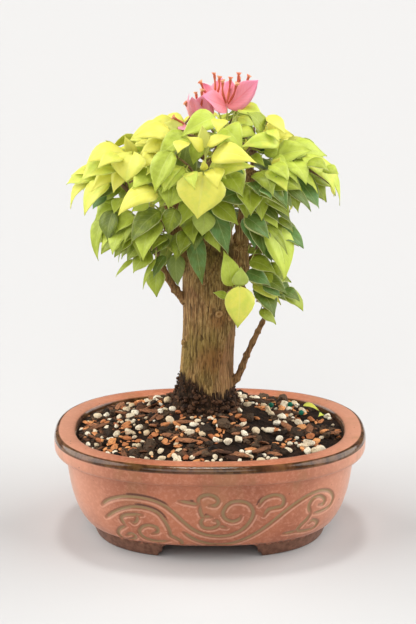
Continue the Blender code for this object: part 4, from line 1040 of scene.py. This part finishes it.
def start_mass(mass):
    """The stem of one mass and its listed leaves, with the side twigs that carry them."""
    if mass.root:
        start = mm(mass.root)
        ahead = (mm(mass.hub) - start).normalized()
    else:
        path = smooth_path([mm(point) for point in BOUGHS[mass.parent][0]], 2)
        ahead = (path[-1] - path[-2]).normalized()
        start = path[-1] + ahead * GAP * MM
    hub = mm(mass.hub)
    stem = smooth_path([start, start.lerp(hub, 0.5) + ahead * 0.12 * (hub - start).length, hub], 2)
    twigs = [stem]
    leaves = [make_lead(lead, twigs) for lead in mass.leads]
    wood = [ring_tree(twig_rings(path, *TWIG_RADIUS)) for path in twigs]
    blades = [ring_tree(leaf_rings(leaf)) for leaf in leaves]
    return Growth(twigs, leaves, wood, blades, [])


def add_shoots(mass, growth, others, rng):
    """A fan of shoots from the stem into the mass's space; one that touches another thing is skipped."""
    centre = mm(mass.centre)
    for i in range(mass.shoots):
        level = 1.0 - (i + 0.5) * SHOOT_SPAN / mass.shoots
        angle = i * GOLDEN_TURN + rng.uniform(0.0, 0.8)
        flat = math.sqrt(1.0 - level * level)
        aim = Vector((flat * math.cos(angle) * mass.reach[0], flat * math.sin(angle) * mass.reach[1],
                      level * mass.reach[2]))
        end = centre + aim * SHOOT_REACH * MM
        begin = along(growth.twigs[0], FORK_START + (1.0 - FORK_START) * (i + 0.5) / mass.shoots)
        path = [begin, begin.lerp(end, 0.5) + Vector((0, 0, SHOOT_LIFT * (end - begin).length)), end]
        if not touches(twig_rings(path, *TWIG_RADIUS, 2 * CLEARANCE), others + growth.blades):
            growth.twigs.append(path)
            growth.wood.append(ring_tree(twig_rings(path, *TWIG_RADIUS)))


def keep_leaf(leaf, mass, growth, others):
    """Add a leaf if it is in the mass's space, bends gently and is clear of everything."""
    if not inside(mass, leaf.tip) or leaf_bend(leaf) < SHARPEST:
        return False
    crosses_wood = touches(leaf_space(leaf, stalk=False), growth.wood)
    if crosses_wood or touches(leaf_space(leaf), others + growth.blades):
        return False
    growth.leaves.append(leaf)
    growth.blades.append(ring_tree(leaf_rings(leaf)))
    return True


def add_leaves(mass, growth, others, rng):
    """Leaves along each twig, each turned until it is clear of everything, or skipped."""
    for path in growth.twigs[1:]:
        length = sum((b - a).length for a, b in zip(path, path[1:]))
        count = max(2, round(length / (LEAF_STEP * MM)))
        for k in range(count):
            share = (k + 1) / count * LAST_LEAF
            place = along(path, share)
            ahead = (along(path, 1.0) - along(path, share - 0.1)).normalized()
            for attempt in range(LEAF_TRIES):
                leaf = make_leaf(place, ahead, k + attempt * TRY_TURN, mass, rng)
                if keep_leaf(leaf, mass, growth, others):
                    break


# The sprigs between the leaves: how far apart they start, how long they are, how often each is
# tried, and the young leaves in the tuft at each shoot's tip
SPRIG_STEP = 10.0
SPRIG_LENGTH = (5.0, 12.0)
SPRIG_TRIES = 9
SPRIG_LEAVES = 3
TUFT_LEAVES = 3
# More listed leaves, as leads, which hang low or stand apart at the crown's left and right
HANGING = (
    ("foliage_low_left",
     (((-42, -20, 225), (-60, -24, 192), 4.5, 0.12, 0.42),
      ((-42, -12, 203), (-54, -17, 191), 15, 0.1, 0.38),
      ((-39, -16, 196), (-50, -21, 184), 15, 0.1, 0.48),
      ((-50, -10, 190), (-62, -12, 179), 4.5, 0.06, 0.5),
      ((-27, -14, 205), (-38, -18, 195), 10, 0.1, 0.32),
      ((-29, -16, 194), (-37, -20, 180), 8, 0.1, 0.2),
      ((-35, -20, 193), (-44, -22, 173), 4, 0.08, 0.5),
      ((-34, -11, 183), (-35, -15, 166), 14, 0.1, 0.44))),
    ("foliage_front_right",
     (((36, -28, 246), (49, -34, 230), 14, 0.1, 0.16),
      ((23, -26, 222), (38, -30, 209), 13, 0.1, 0.12),
      ((39, -30, 243), (57, -34, 242), 8, 0.1, 0.45))),
    ("foliage_right",
     (((49, -18, 240), (65, -22, 225), 9, 0.1, 0.2),)),
    ("foliage_low_right",
     (((36, -22, 216), (50, -27, 198), 7, 0.1, 0.4),
      ((32, -14, 205), (43, -18, 197), 8, 0.1, 0.06),
      ((44, -8, 217), (54, -12, 209), 9, 0.1, 0.34),
      ((36, -14, 222), (43, -18, 214), 8, 0.1, 0.3),
      ((26, -10, 189), (43, -14, 182), 13, 0.12, 0.45),
      ((25, -6, 195), (34, -10, 194), 7, 0.1, 0.36))),
)
# No fine twig ends in the room before the largest leaf, as (its middle, how far)
OPEN_ROOM = ((-6.0, -52.0, 244.0), 17.0)


def add_sprigs(mass, growth, others, rng):
    """Finer side twigs with small leaves between the leaves, and a tuft of young ones at each tip."""
    for path in growth.twigs[1:]:
        length = sum((b - a).length for a, b in zip(path, path[1:])) / MM
        for k in range(round(length / SPRIG_STEP)):
            place = along(path, min(0.97, (k + 0.7) * SPRIG_STEP / length))
            for attempt in range(SPRIG_TRIES):
                aim = Vector([rng.uniform(-1, 1) for axis in range(3)]) + outward(place) * 0.4
                ahead = (aim + Vector((0, 0, 0.35))).normalized()
                end = place + ahead * rng.uniform(*SPRIG_LENGTH) * MM
                if (end - mm(OPEN_ROOM[0])).length < OPEN_ROOM[1] * MM:
                    continue
                kept = 0
                for i in range(SPRIG_LEAVES):
                    leaf = make_leaf(end, ahead, i * 1.7 + rng.random(), mass, rng, rng.uniform(0.5, 0.9))
                    kept += keep_leaf(leaf, mass, growth, others)
                if kept:
                    growth.sprigs.append([place, place.lerp(end, 0.5) + Vector((0, 0, 0.0004)), end])
                    break
        ahead = (path[-1] - path[-2]).normalized()
        for i in range(TUFT_LEAVES):
            stray = Vector([rng.uniform(-0.7, 0.7) for axis in range(3)])
            lean = (ahead + Vector((0, 0, 0.5)) + stray).normalized()
            base = path[-1] + lean * rng.uniform(1.0, 2.5) * MM
            tip = base + lean * rng.uniform(7.0, 12.0) * MM
            facing = outward(path[-1]) * 0.6 + Vector((0, 0, 0.4))
            width = rng.uniform(3.0, 5.5) * MM
            young = Leaf(path[-1], base, tip, facing, width, 0.06, LEAF_OUTLINE, 1.0)
            keep_leaf(young, mass, growth, others)


# The blossom of the solids takes up room that the leaves keep clear of
BLOSSOM_HUB = (13, 15, 268)
Spray = namedtuple("Spray", "centre axis length width open turn")
SPRAYS = (Spray((13, 14, 280), (0.35, -0.25, 1.0), 25, 21, 0.62, 0.25),
          Spray((-4, 12, 279), (-0.25, -0.35, 1.0), 20, 15, 0.6, 0.9),
          Spray((4, 22, 283), (0.0, 0.45, 1.0), 22, 17, 0.6, 0.1))
BRACT_OUTLINE = ((0.40, 1.00), (0.74, 0.72))
TUBE_LENGTH = 17.5
path = smooth_path([mm(point) for point in BOUGHS["bough_top"][0]], 2)
start = path[-1] + (path[-1] - path[-2]).normalized() * GAP * MM
hub = mm(BLOSSOM_HUB)
flower_stem = smooth_path([start, start.lerp(hub, 0.5), hub], 2)
blossom_trees = [ring_tree(twig_rings(flower_stem, 1.5, 1.1))]
for spray in SPRAYS:
    centre, axis = mm(spray.centre), Vector(spray.axis).normalized()
    side = axis.cross(Vector((0, 1, 0))).normalized()
    front = side.cross(axis)
    stalk = [along(flower_stem, 0.9), hub.lerp(centre, 0.5), hub.lerp(centre, 1.04)]
    blossom_trees.append(ring_tree(twig_rings(stalk, 0.9, 0.9)))
    for k in range(3):
        angle = spray.turn + math.tau * k / 3
        away = side * math.cos(angle) + front * math.sin(angle)
        lean = axis * (1.0 - spray.open * 0.5) + away * spray.open
        base = centre + away * 0.8 * MM
        bract = Leaf(centre, base, base + lean.normalized() * spray.length * MM, axis * 0.5 - away,
                     spray.width * MM, -0.12, BRACT_OUTLINE, 0.5)
        blossom_trees.append(ring_tree(leaf_rings(bract)))
        top = centre + (axis * 0.9 + away * 0.28).normalized() * TUBE_LENGTH * MM
        blossom_trees.append(ring_tree(twig_rings([centre + away * 0.4 * MM, top], 0.6, 0.95)))

limbs = [mesh_tree(frame["nodes"][name]) for name in ("trunk", *BOUGHS)] + blossom_trees
growths = {mass.name: start_mass(mass) for mass in MASSES}
fine_growth = []


def all_but(mass):
    """The limbs, the blossom and the other masses, which a mass's leaves keep clear of."""
    return limbs + [tree for name, other in growths.items() if name != mass.name
                    for tree in other.wood + other.blades]


for mass in MASSES:
    rng = random.Random(mass.seed)
    growth = growths[mass.name]
    others = all_but(mass)
    lead_twigs = len(growth.twigs)
    add_shoots(mass, growth, others, rng)
    add_leaves(mass, growth, others, rng)
    fine_growth.append((mass, growth, lead_twigs))
# A hanging leaf takes the place of the grown leaves that it would touch
for name, leads in HANGING:
    for lead in leads:
        leaf = make_lead(lead, growths[name].twigs)
        rings = leaf_rings(leaf)
        for other in growths.values():
            for i in reversed(range(len(other.leaves))):
                if other.leaves[i].tone is None and touches(rings, [other.blades[i]]):
                    other.leaves.pop(i)
                    other.blades.pop(i)
        growths[name].leaves.append(leaf)
        growths[name].blades.append(ring_tree(rings))
for mass, growth, lead_twigs in fine_growth:
    add_sprigs(mass, growth, all_but(mass), random.Random(mass.seed + 1))

# The blade's outline as (share of the length, share of the half width), and how it is cut
BLADE = ((0.0, 0.07), (0.045, 0.5), (0.12, 0.82), (0.24, 1.0), (0.38, 0.99), (0.53, 0.85),
         (0.68, 0.6), (0.81, 0.33), (0.92, 0.12), (1.0, 0.012))
BLADE_ACROSS = 4
BLADE_THICK = 0.22
# The shed leaves as (where each starts, its tip, its width, its tone)
FALLEN = (((65.5, 36.8), (76.0, 28.0), 4.2, 0.9), ((77.4, 20.2), (74.4, 15.2), 3.4, 0.8))
LEAF_MARKS = ("across", "along", "tone", "pale", "under")


def blade(bm, leaf, outline, tone, pale, fold, wave, rng):
    """One leaf or bract blade: a grid bent to its outline, folded on its midrib, waved at its edge."""
    axis, face, side = leaf_frame(leaf)
    length = (leaf.tip - leaf.base).length
    made = bmesh.ops.create_grid(bm, x_segments=BLADE_ACROSS, y_segments=len(outline) - 1, size=1.0)
    start, turns = rng.uniform(0, math.tau), rng.uniform(1.3, 2.2)
    heart = max(0.0, leaf.width / length - 0.55) * 0.16
    for vert in made["verts"]:
        across = vert.co.x
        share, width = outline[round((vert.co.y * 0.5 + 0.5) * (len(outline) - 1))]
        half_width = leaf.width / 2 * width
        middle = blade_middle(leaf, face, share)
        lift = fold * abs(across) * half_width
        lift += wave * leaf.width * across * across * math.sin(start + turns * math.tau * share + across)
        lift -= 0.05 * length * share ** 4
        back = heart * length * across * across * math.exp(-share * 9.0)
        vert.co = middle + side * across * half_width + face * (lift + 0.3 * MM) - axis * back
        for name, value in zip(LEAF_MARKS, (across, share, tone, pale, 0.0)):
            vert[bm.verts.layers.float[name]] = value


def thicken(bm, thickness):
    """Give the blades their thickness, and mark the new side as the underside."""
    bmesh.ops.recalc_face_normals(bm, faces=bm.faces)
    top = set(bm.verts)
    bmesh.ops.solidify(bm, geom=bm.faces[:], thickness=thickness * MM)
    for vert in bm.verts:
        if vert not in top:
            vert[bm.verts.layers.float["under"]] = 1.0


def blades_bmesh():
    """An empty bmesh that carries the marks which the blades' finish reads."""
    bm = bmesh.new()
    for name in LEAF_MARKS:
        bm.verts.layers.float.new(name)
    return bm


# A grown leaf's tone by its height, as (height, tone)
TONE_BY_HEIGHT = ((160, 0.45), (205, 0.48), (228, 0.56), (248, 0.74), (266, 0.88), (282, 0.96))


def tone_of(leaf, mass, rng):
    """The tone of a grown leaf: yellow-lime where high, green below, with painted light outside and painted
    shade inside and on the right.
    """
    place = leaf.base.lerp(leaf.tip, 0.5) / MM
    high = between(TONE_BY_HEIGHT, place.z)
    painted_shade_depth = 1.0 - math.hypot(place.x, place.y - TRUNK_FOOT[1]) / 60.0
    lit = (place - Vector(mass.centre)).dot(outward(leaf.base) * 0.5 + Vector((0, 0, 0.8))) / mass.reach[2]
    # The right of the crown is darker, as painted shade; the darkest tones, more often on the right, are
    # partly dark and bluish leaves and partly painted shade
    right = 0.13 if place.x > 10.0 else -0.1
    dark_leaf_and_shade_share, dark_leaf_and_shade_top = (0.24, 262.0) if place.x > 5.0 else (0.07, 236.0)
    if place.z < dark_leaf_and_shade_top and rng.random() < dark_leaf_and_shade_share:
        return rng.uniform(0.05, 0.26)
    fresh = 0.3 if mass.name == "foliage_trunk_shoot" else 0.0
    # Painted shade lowers the tone far inside the crown, and painted light raises it on the mass's outer,
    # upper side
    tone = high + fresh - 0.3 * max(0.0, painted_shade_depth) - right + 0.17 * lit + rng.gauss(0.0, 0.1)
    return max(0.12, min(1.0, tone))


# The crown's outline against the sky, as points of the photograph, and the hollows that
# show between its leaves, as (such a point, radius in millimetres)
CROWN_LINE = ((64, 177), (72, 166), (84, 152), (98, 147), (112, 143), (121, 133), (134, 134), (144, 123),
              (160, 119), (184, 117), (196, 108), (215, 106), (246, 103), (262, 112), (272, 117),
              (283, 129), (297, 134), (311, 140), (316, 153), (328, 160), (339, 173), (344, 190),
              (343, 208), (330, 192), (317, 194), (311, 210), (297, 207), (293, 218), (297, 232),
              (297, 250), (290, 268), (284, 280), (292, 284), (298, 291), (304, 310), (284, 301),
              (279, 308), (279, 327), (260, 325), (250, 302), (238, 288), (236, 262), (228, 250),
              (212, 252), (196, 264), (184, 272), (180, 287), (172, 276), (166, 296), (148, 298),
              (138, 284), (133, 272), (114, 280), (123, 262), (119, 241), (105, 248), (98, 265),
              (92, 258), (93, 205), (86, 218), (80, 201), (69, 212), (64, 200))
HOLLOWS = (((182, 160), 7.5), ((246, 178), 5.0))
SKYLINE = [tuple(on_upright(u, v, 0.0).xz) for u, v in CROWN_LINE]


def seen(place):
    """Where a place shows on the plane through the pot's middle, looked at as the photograph does."""
    away = place / MM - VIEWPOINT
    spot = VIEWPOINT - away * VIEWPOINT.y / away.y
    return spot.x, spot.z


def in_crown(place):
    """Whether a place shows inside the crown's outline."""
    x, z = seen(place)
    crossings = 0
    for (x1, z1), (x2, z2) in zip(SKYLINE, SKYLINE[1:] + SKYLINE[:1]):
        if (z1 > z) != (z2 > z) and x < x1 + (x2 - x1) * (z - z1) / (z2 - z1):
            crossings += 1
    return crossings % 2 == 1


def opens_sky(leaf):
    """Whether a grown leaf would cover the sky round the crown, or a hollow in its front."""
    face, side = leaf_frame(leaf)[1:]
    middle = blade_middle(leaf, face, 0.45)
    wide = blade_middle(leaf, face, 0.28)
    spots = (leaf.tip, leaf.base, middle, wide + side * leaf.width * 0.45, wide - side * leaf.width * 0.45)
    if not in_crown(leaf.root) or sum(not in_crown(spot) for spot in spots) >= 2:
        return True
    spot = Vector(seen(middle))
    return middle.y < -8.0 * MM and any((spot - on_upright(*point, 0.0).xz).length < reach
                                        for point, reach in HOLLOWS)


# How much wider a grown blade is drawn than the source's, to close the crown
FULLER = 1.14


def turned(leaf, hand_set):
    """The leaf with its face turned from its shoot's side towards the light, before or behind the crown."""
    front = -1.0 if leaf.base.y < (TRUNK_FOOT[1] + 8.0) * MM else 1.0
    light = Vector((0.0, front * (0.45 if hand_set else 0.8), 0.35))
    width = leaf.width * (1.0 if hand_set else FULLER)
    return leaf._replace(facing=leaf.facing.normalized() * 0.8 + light, width=width)


leaf_green = Finish("leaf_green", 0.42, 0.4)
tone = leaf_green.mark("tone")
mottle = leaf_green.grain(170, 4.0)
shaded = leaf_green.reckon("ADD", tone, leaf_green.spread(mottle, 0.3, 0.7, -0.06, 0.06))
colour = leaf_green.mottle(shaded, 0.02, 0.25, (0.15, 0.31, 0.08, 1), (0.125, 0.175, 0.014, 1))
for low, high, next_colour in ((0.25, 0.5, (0.35, 0.43, 0.03, 1)), (0.5, 0.74, (0.59, 0.71, 0.088, 1)),
                               (0.74, 0.98, (0.84, 0.81, 0.12, 1))):
    colour = leaf_green.mottle(shaded, low, high, colour, next_colour)
across = leaf_green.reckon("ABSOLUTE", leaf_green.mark("across"))
rib_run = leaf_green.reckon("MULTIPLY_ADD", across, -0.3, leaf_green.mark("along"))
rib_place = leaf_green.put("CombineXYZ", X=rib_run, Y=leaf_green.times(across, 0.1))
BANDS = {"wave_type": "BANDS", "bands_direction": "X"}
ribs = leaf_green.put("TexWave", 1, BANDS, Vector=rib_place, Scale=2.4, Distortion=0.4, Detail=2.0)
side_ribs = leaf_green.spread(ribs, 0.88, 1.0)
midrib = leaf_green.spread(across, 0.02, 0.09, 1.0, 0.0)
veins = leaf_green.reckon("MAXIMUM", midrib, leaf_green.times(side_ribs, 0.45))
pale_green = leaf_green.mix(0.5, colour, (0.75, 0.80, 0.30, 1))
colour = leaf_green.mix(leaf_green.times(veins, 0.34), colour, pale_green)
margin = leaf_green.times(leaf_green.spread(across, 0.9, 0.99), leaf_green.mark("pale"))
colour = leaf_green.mix(margin, colour, (0.72, 0.74, 0.32, 1))
under = leaf_green.mark("under")
colour = leaf_green.mix(leaf_green.times(under, 0.35), colour, (0.45, 0.56, 0.16, 1))
relief = leaf_green.reckon("SUBTRACT", leaf_green.times(mottle, 0.5), veins)
leaf_green.paint(colour, relief, 0.35, 0.0004)

rng = random.Random(42)
leaves = blades_bmesh()
wood_runs, green_runs, borne = [], [], set()
for mass, growth, lead_twigs in fine_growth:
    for leaf in growth.leaves:
        hand_set = leaf.tone is not None
        tone = leaf.tone if hand_set else tone_of(leaf, mass, rng)
        # Green leaves have a pale margin, more so on the right
        margins = (0.0, 0.25, 0.7) if leaf.base.x < 0.0 else (0.3, 0.7, 0.9)
        pale = rng.choice(margins) if tone < 0.62 else 0.2
        leaf = turned(leaf, hand_set)
        young = leaf.tone == 1.0 and (leaf.tip - leaf.base).length < 12.5 * MM
        if (young or not hand_set) and opens_sky(leaf):
            continue
        borne.add(tuple(leaf.root))
        blade(leaves, leaf, BLADE, tone, pale, rng.uniform(-0.08, 0.3), rng.uniform(0.01, 0.045), rng)
        axis, face, side = leaf_frame(leaf)
        size = min(1.0, (leaf.tip - leaf.base).length / 0.024) ** 0.5
        bow = leaf.root.lerp(leaf.base, 0.6) - Vector((0, 0, 0.0004))
        rib = [(blade_middle(leaf, face, share) - face * 0.14 * MM, radius * size * MM)
               for share, radius in ((0.03, 0.42), (0.2, 0.34), (0.45, 0.24), (0.7, 0.14))]
        green_runs.append([(leaf.root, 0.52 * size * MM), (bow, 0.42 * size * MM)] + rib)
    for i, path in enumerate(growth.twigs):
        fine = smooth_path(path, 3)
        while len(fine) > 3 and i >= lead_twigs and not in_crown(fine[-1]):
            fine.pop()
        base, tip = (1.45, 0.95) if i == 0 else (0.8, 0.6) if i < lead_twigs else (1.15, 0.6)
        run = [(point, (base + (tip - base) * k / (len(fine) - 1)) * (1.0 + 0.14 * math.sin(k * 2.3)) * MM)
               for k, point in enumerate(fine)]
        (green_runs if 0 < i < lead_twigs else wood_runs).append(run)
    for path in growth.sprigs:
        if tuple(path[-1]) in borne:
            green_runs.append([(point, radius * MM) for point, radius in zip(path, (0.62, 0.5, 0.4))])
# A shed leaf lies curled on the soil, with a scrap of another
for start, end, width, tone in FALLEN:
    base, tip = [mm(soil_under(*spot) + Vector((0, 0, 3.0))) for spot in (start, end)]
    shed = Leaf(base, base, tip, Vector((0.2, -0.7, 1.0)), width * MM, 0.14, LEAF_OUTLINE, tone)
    blade(leaves, shed, BLADE, tone, 0.2, 0.3, 0.04, rng)
thicken(leaves, BLADE_THICK)
MASS_NAMES = [mass.name for mass in MASSES]
leaf_piece = mesh_piece("leaves", leaves, leaf_green.material)
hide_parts(*MASS_NAMES)


def tube_piece(name, runs, sides, finish):
    """A piece made of tubes."""
    data = tubes(name, runs, sides)
    bm = bmesh.new()
    bm.from_mesh(data)
    bpy.data.meshes.remove(data)
    bmesh.ops.recalc_face_normals(bm, faces=bm.faces)
    return mesh_piece(name, bm, finish)


twig_bark = Finish("twig_bark", 0.75)
twig_tone = twig_bark.mottle(twig_bark.grain(90, 3.0), 0.4, 0.6, (0.22, 0.13, 0.065, 1),
                             (0.33, 0.20, 0.10, 1))
twig_fine = twig_bark.grain(700, 4.0)
twig_tone = twig_bark.mottle(twig_fine, 0.5, 0.75, twig_tone, (0.10, 0.055, 0.03, 1))
twig_bark.paint(twig_tone, twig_fine, 0.6, 0.0004)
twigs = tube_piece("twigs", wood_runs, 8, twig_bark.material)
stalk_green = Finish("stalk_green", 0.5)
stalk_tone = stalk_green.mottle(stalk_green.grain(60, 2.0), 0.4, 0.6, (0.40, 0.50, 0.09, 1),
                                (0.55, 0.58, 0.12, 1))
stalk_green.paint(stalk_tone, stalk_green.grain(800, 3.0), 0.3, 0.0003)
stalks = tube_piece("leaf_stalks", green_runs, 6, stalk_green.material)


# The blossom is three sprays at the top and two smaller ones to the left of them. Each has two to
# four papery pink bracts and one to three small flowers, red-brown tubes that open into stars.
BRACT_BLADE = ((0.0, 0.12), (0.05, 0.48), (0.13, 0.78), (0.26, 0.97), (0.4, 1.0), (0.55, 0.93),
               (0.7, 0.72), (0.83, 0.44), (0.93, 0.18), (1.0, 0.012))
paper_pink = Finish("paper_pink", 0.6, 0.3)
run = paper_pink.mark("along")
colour = paper_pink.mix(paper_pink.spread(run, 0.0, 0.6), (1.0, 0.30, 0.32, 1), (1.0, 0.34, 0.42, 1))
colour = paper_pink.mix(paper_pink.spread(run, 0.5, 1.0), colour, (1.0, 0.30, 0.50, 1))
# Bracts with a high tone are painted lighter pink, as painted light on sprays that lie in shade
colour = paper_pink.mix(paper_pink.times(paper_pink.mark("tone"), 0.6), colour, (1.0, 0.52, 0.64, 1))
across = paper_pink.reckon("ABSOLUTE", paper_pink.mark("across"))
rib_run = paper_pink.reckon("MULTIPLY_ADD", across, -0.35, run)
rib_place = paper_pink.put("CombineXYZ", X=rib_run, Y=paper_pink.times(across, 0.2))
ribs = paper_pink.put("TexWave", 1, BANDS, Vector=rib_place, Scale=3.0, Distortion=1.2, Detail=3.0)
side_ribs = paper_pink.spread(ribs, 0.84, 1.0)
midrib = paper_pink.spread(across, 0.02, 0.08, 1.0, 0.0)
veins = paper_pink.reckon("MAXIMUM", midrib, paper_pink.times(side_ribs, 0.6))
colour = paper_pink.mix(paper_pink.times(veins, 0.4), colour, (0.95, 0.17, 0.19, 1))
crinkle = paper_pink.grain(240, 4.0)
relief = paper_pink.reckon("SUBTRACT", crinkle, veins)
paper_pink.paint(colour, relief, 0.4, 0.0004)
# Each flower spray: the place where its bracts meet, the bracts as (tip, width, the way the inner
# face looks, arch), and the tops of its tubes
Flower = namedtuple("Flower", "place bracts tops")
FLOWERS = (
    Flower((10.8, 13.0, 286.0), (((30.6, 9.0, 304.5), 16.5, (-0.3, -1.0, 0.35), 0.10),
                                 ((-4.0, 0.5, 296.0), 17.0, (0.35, -0.75, 0.8), 0.05),
                                 ((13.4, 21.0, 303.5), 13.0, (0.0, -1.0, 0.3), 0.06)),
           ((8.0, 9.0, 303.5), (13.4, 15.0, 304.6), (17.2, 8.0, 301.8))),
    Flower((3.0, 21.0, 288.5), (((-4.5, 26.0, 300.0), 11.0, (0.4, -1.0, 0.2), 0.08),
                                ((8.0, 31.0, 303.0), 13.0, (-0.2, -0.8, 0.5), 0.08),
                                ((-2.0, 10.0, 297.0), 9.0, (0.3, 0.9, 0.6), 0.06)),
           ((-6.2, 17.0, 301.8), (2.9, 24.0, 306.2), (6.2, 22.0, 304.2))),
    Flower((17.0, 24.0, 287.0), (((29.0, 33.0, 299.5), 13.0, (-0.5, -0.7, 0.6), 0.08),
                                 ((11.0, 36.0, 300.0), 13.0, (0.3, -0.8, 0.6), 0.08),
                                 ((26.0, 17.0, 298.0), 11.0, (-0.6, 0.2, 0.8), 0.06)),
           ((18.9, 25.0, 306.0), (25.5, 28.0, 304.0), (19.5, 32.0, 302.0))),
    Flower((-8.0, 12.0, 277.5), (((-12.0, 7.0, 293.5), 12.0, (-0.5, -0.9, 0.5), 0.08),
                                 ((-3.6, 8.5, 295.0), 15.0, (0.1, -1.0, 0.5), 0.08),
                                 ((3.0, 10.0, 289.5), 11.0, (0.2, -1.0, 0.4), 0.08),
                                 ((-13.0, 5.0, 296.6), 4.5, (0.2, 0.1, 1.0), 0.25)),
           ((-5.2, 10.0, 297.4), (-15.8, 6.0, 289.8), (-9.0, 15.0, 295.0))),
    Flower((-15.0, 3.0, 276.0), (((-20.5, -4.0, 275.0), 6.0, (-0.2, -0.9, 0.5), 0.08),
                                 ((2.5, 1.5, 275.5), 8.0, (0.1, -0.9, 0.4), 0.1)),
           ((-23.4, -2.0, 282.0),)),
)
STEM_RADII = (1.5, 1.3, 1.1, 1.0, 0.9)
TUBE_RADII = (0.4, 0.6, 0.8, 0.86, 0.74, 0.6, 0.6, 0.85, 1.0)
bract_mesh = blades_bmesh()
stem_runs = [[(point, radius * MM) for point, radius in zip(flower_stem, STEM_RADII)]]
tube_runs = []
stars = bmesh.new()
for flower in FLOWERS:
    place = mm(flower.place)
    middle = sum((mm(top) for top in flower.tops), Vector()) / len(flower.tops)
    start = along(flower_stem, 0.9)
    sag = start.lerp(place, 0.5) - Vector((0, 0, 0.001))
    stem_runs.append([(point, 0.5 * MM) for point in smooth_path([start, sag, place], 4)])
    for tip, width, facing, arch in flower.bracts:
        base = place + (mm(tip) - place).normalized() * 0.5 * MM
        bract = Leaf(place, base, mm(tip), Vector(facing), width * MM, -arch, BRACT_OUTLINE, 0.5)
        # The sprays on the left get the high tone, a painted light
        tone = 1.0 if place.x < 0.0 else 0.2
        fold, wave = rng.uniform(0.1, 0.25), rng.uniform(0.03, 0.06)
        blade(bract_mesh, bract, BRACT_BLADE, tone, 0.0, fold, wave, rng)
    for top in flower.tops:
        top = mm(top)
        away = top - middle
        base = place.lerp(top, 0.16)
        bend = base.lerp(top, 0.5) + Vector((away.x, away.y, 0.0)) * 0.2
        path = smooth_path([base, bend, top - (top - base).normalized() * 0.001], 4)
        tube_runs.append([(point, radius * MM) for point, radius in zip(path, TUBE_RADII)])
        made = bmesh.ops.create_cone(stars, cap_ends=True, segments=10, radius1=0.0008, radius2=0.0020,
                                     depth=0.0018)
        turn = (top - base).normalized().to_track_quat("Z", "Y")
        for vert in made["verts"]:
            x, y, z = vert.co
            if z > 0 and round(math.atan2(y, x) / math.tau * 10) % 2:
                x, y = x * 0.45, y * 0.45
            vert.co = top + turn @ Vector((x, y, z))
thicken(bract_mesh, 0.16)
bract_piece = mesh_piece("bracts", bract_mesh, paper_pink.material)
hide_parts("blossom")

tube_red = Finish("tube_red", 0.6)
tone = tube_red.mottle(tube_red.grain(160, 3.0), 0.35, 0.65, (0.55, 0.085, 0.05, 1),
                       (0.68, 0.18, 0.075, 1))
tube_red.paint(tone, tube_red.grain(900, 3.0), 0.4, 0.0003)
tube_piece("flower_tubes", tube_runs, 8, tube_red.material)
star_orange = Finish("star_orange", 0.6)
tone = star_orange.mottle(star_orange.grain(300, 3.0), 0.4, 0.6, (0.80, 0.22, 0.10, 1),
                          (0.85, 0.42, 0.22, 1))
star_orange.paint(tone, star_orange.grain(900, 3.0), 0.3, 0.0003)
mesh_piece("flower_stars", stars, star_orange.material)
tube_piece("flower_stems", stem_runs, 8, stalk_green.material)


# The floor and the light are a plain pale sheet of paper in a light tent. Large soft lamps stand
# to the left and the right of it, so that the pot's ends are brighter than its front.
floor_mesh = bmesh.new()
bmesh.ops.create_grid(floor_mesh, x_segments=1, y_segments=1, size=8.0)
floor_data = bpy.data.meshes.new("floor")
floor_mesh.to_mesh(floor_data)
floor_mesh.free()
sweep = bpy.data.objects.new("floor", floor_data)
bpy.context.scene.collection.objects.link(sweep)
paper = bpy.data.materials.new("paper_sweep")
paper.use_nodes = True
paper.node_tree.nodes["Principled BSDF"].inputs["Base Color"].default_value = (0.585, 0.585, 0.59, 1)
paper.node_tree.nodes["Principled BSDF"].inputs["Roughness"].default_value = 1.0
paper.node_tree.nodes["Principled BSDF"].inputs["Specular IOR Level"].default_value = 0.0
floor_data.materials.append(paper)

world = bpy.data.worlds.new("tent")
bpy.context.scene.world = world
world.use_nodes = True
# The tent's walls are brighter than its roof
up = world.node_tree.nodes.new("ShaderNodeSeparateXYZ")
aim = world.node_tree.nodes.new("ShaderNodeTexCoord").outputs["Generated"]
world.node_tree.links.new(aim, up.inputs["Vector"])
glow = world.node_tree.nodes.new("ShaderNodeMapRange")
glow.inputs["From Min"].default_value, glow.inputs["From Max"].default_value = 0.05, 0.6
glow.inputs["To Min"].default_value, glow.inputs["To Max"].default_value = 0.95, 0.46
world.node_tree.links.new(up.outputs["Z"], glow.inputs["Value"])
world.node_tree.links.new(glow.outputs["Result"], world.node_tree.nodes["Background"].inputs["Strength"])


def soft_lamp(name, aim, angle, strength, colour):
    """A wide sun lamp, which lights everything evenly along one direction."""
    lamp = bpy.data.lights.new(name, "SUN")
    lamp.angle = math.radians(angle)
    lamp.energy = strength
    lamp.color = colour
    lit = bpy.data.objects.new(name, lamp)
    bpy.context.scene.collection.objects.link(lit)
    lit.rotation_euler = Vector(aim).to_track_quat("-Z", "Y").to_euler()


soft_lamp("left_lamp", (0.86, -0.05, -0.55), 70, 3.4, (1.0, 0.985, 0.96))
soft_lamp("right_lamp", (-0.86, -0.05, -0.55), 70, 3.3, (1.0, 0.985, 0.96))
soft_lamp("front_lamp", (0.1, 0.9, -0.6), 40, 0.8, (1.0, 0.985, 0.96))
soft_lamp("top_lamp", (0.02, -0.12, -1.0), 9, 0.8, (1.0, 0.985, 0.96))

# The camera looks from where the photograph was taken
camera_data = bpy.data.cameras.new("camera")
camera_data.sensor_width = 36.0
camera_data.lens = 95.54
camera_data.clip_start = 0.05
camera = bpy.data.objects.new("camera", camera_data)
bpy.context.scene.collection.objects.link(camera)
camera.location = (-0.0013, -1.0558, 0.4602)
camera.rotation_euler = (math.radians(73.7), 0.0, 0.0)
bpy.context.scene.camera = camera
bpy.context.scene.view_settings.view_transform = "Standard"
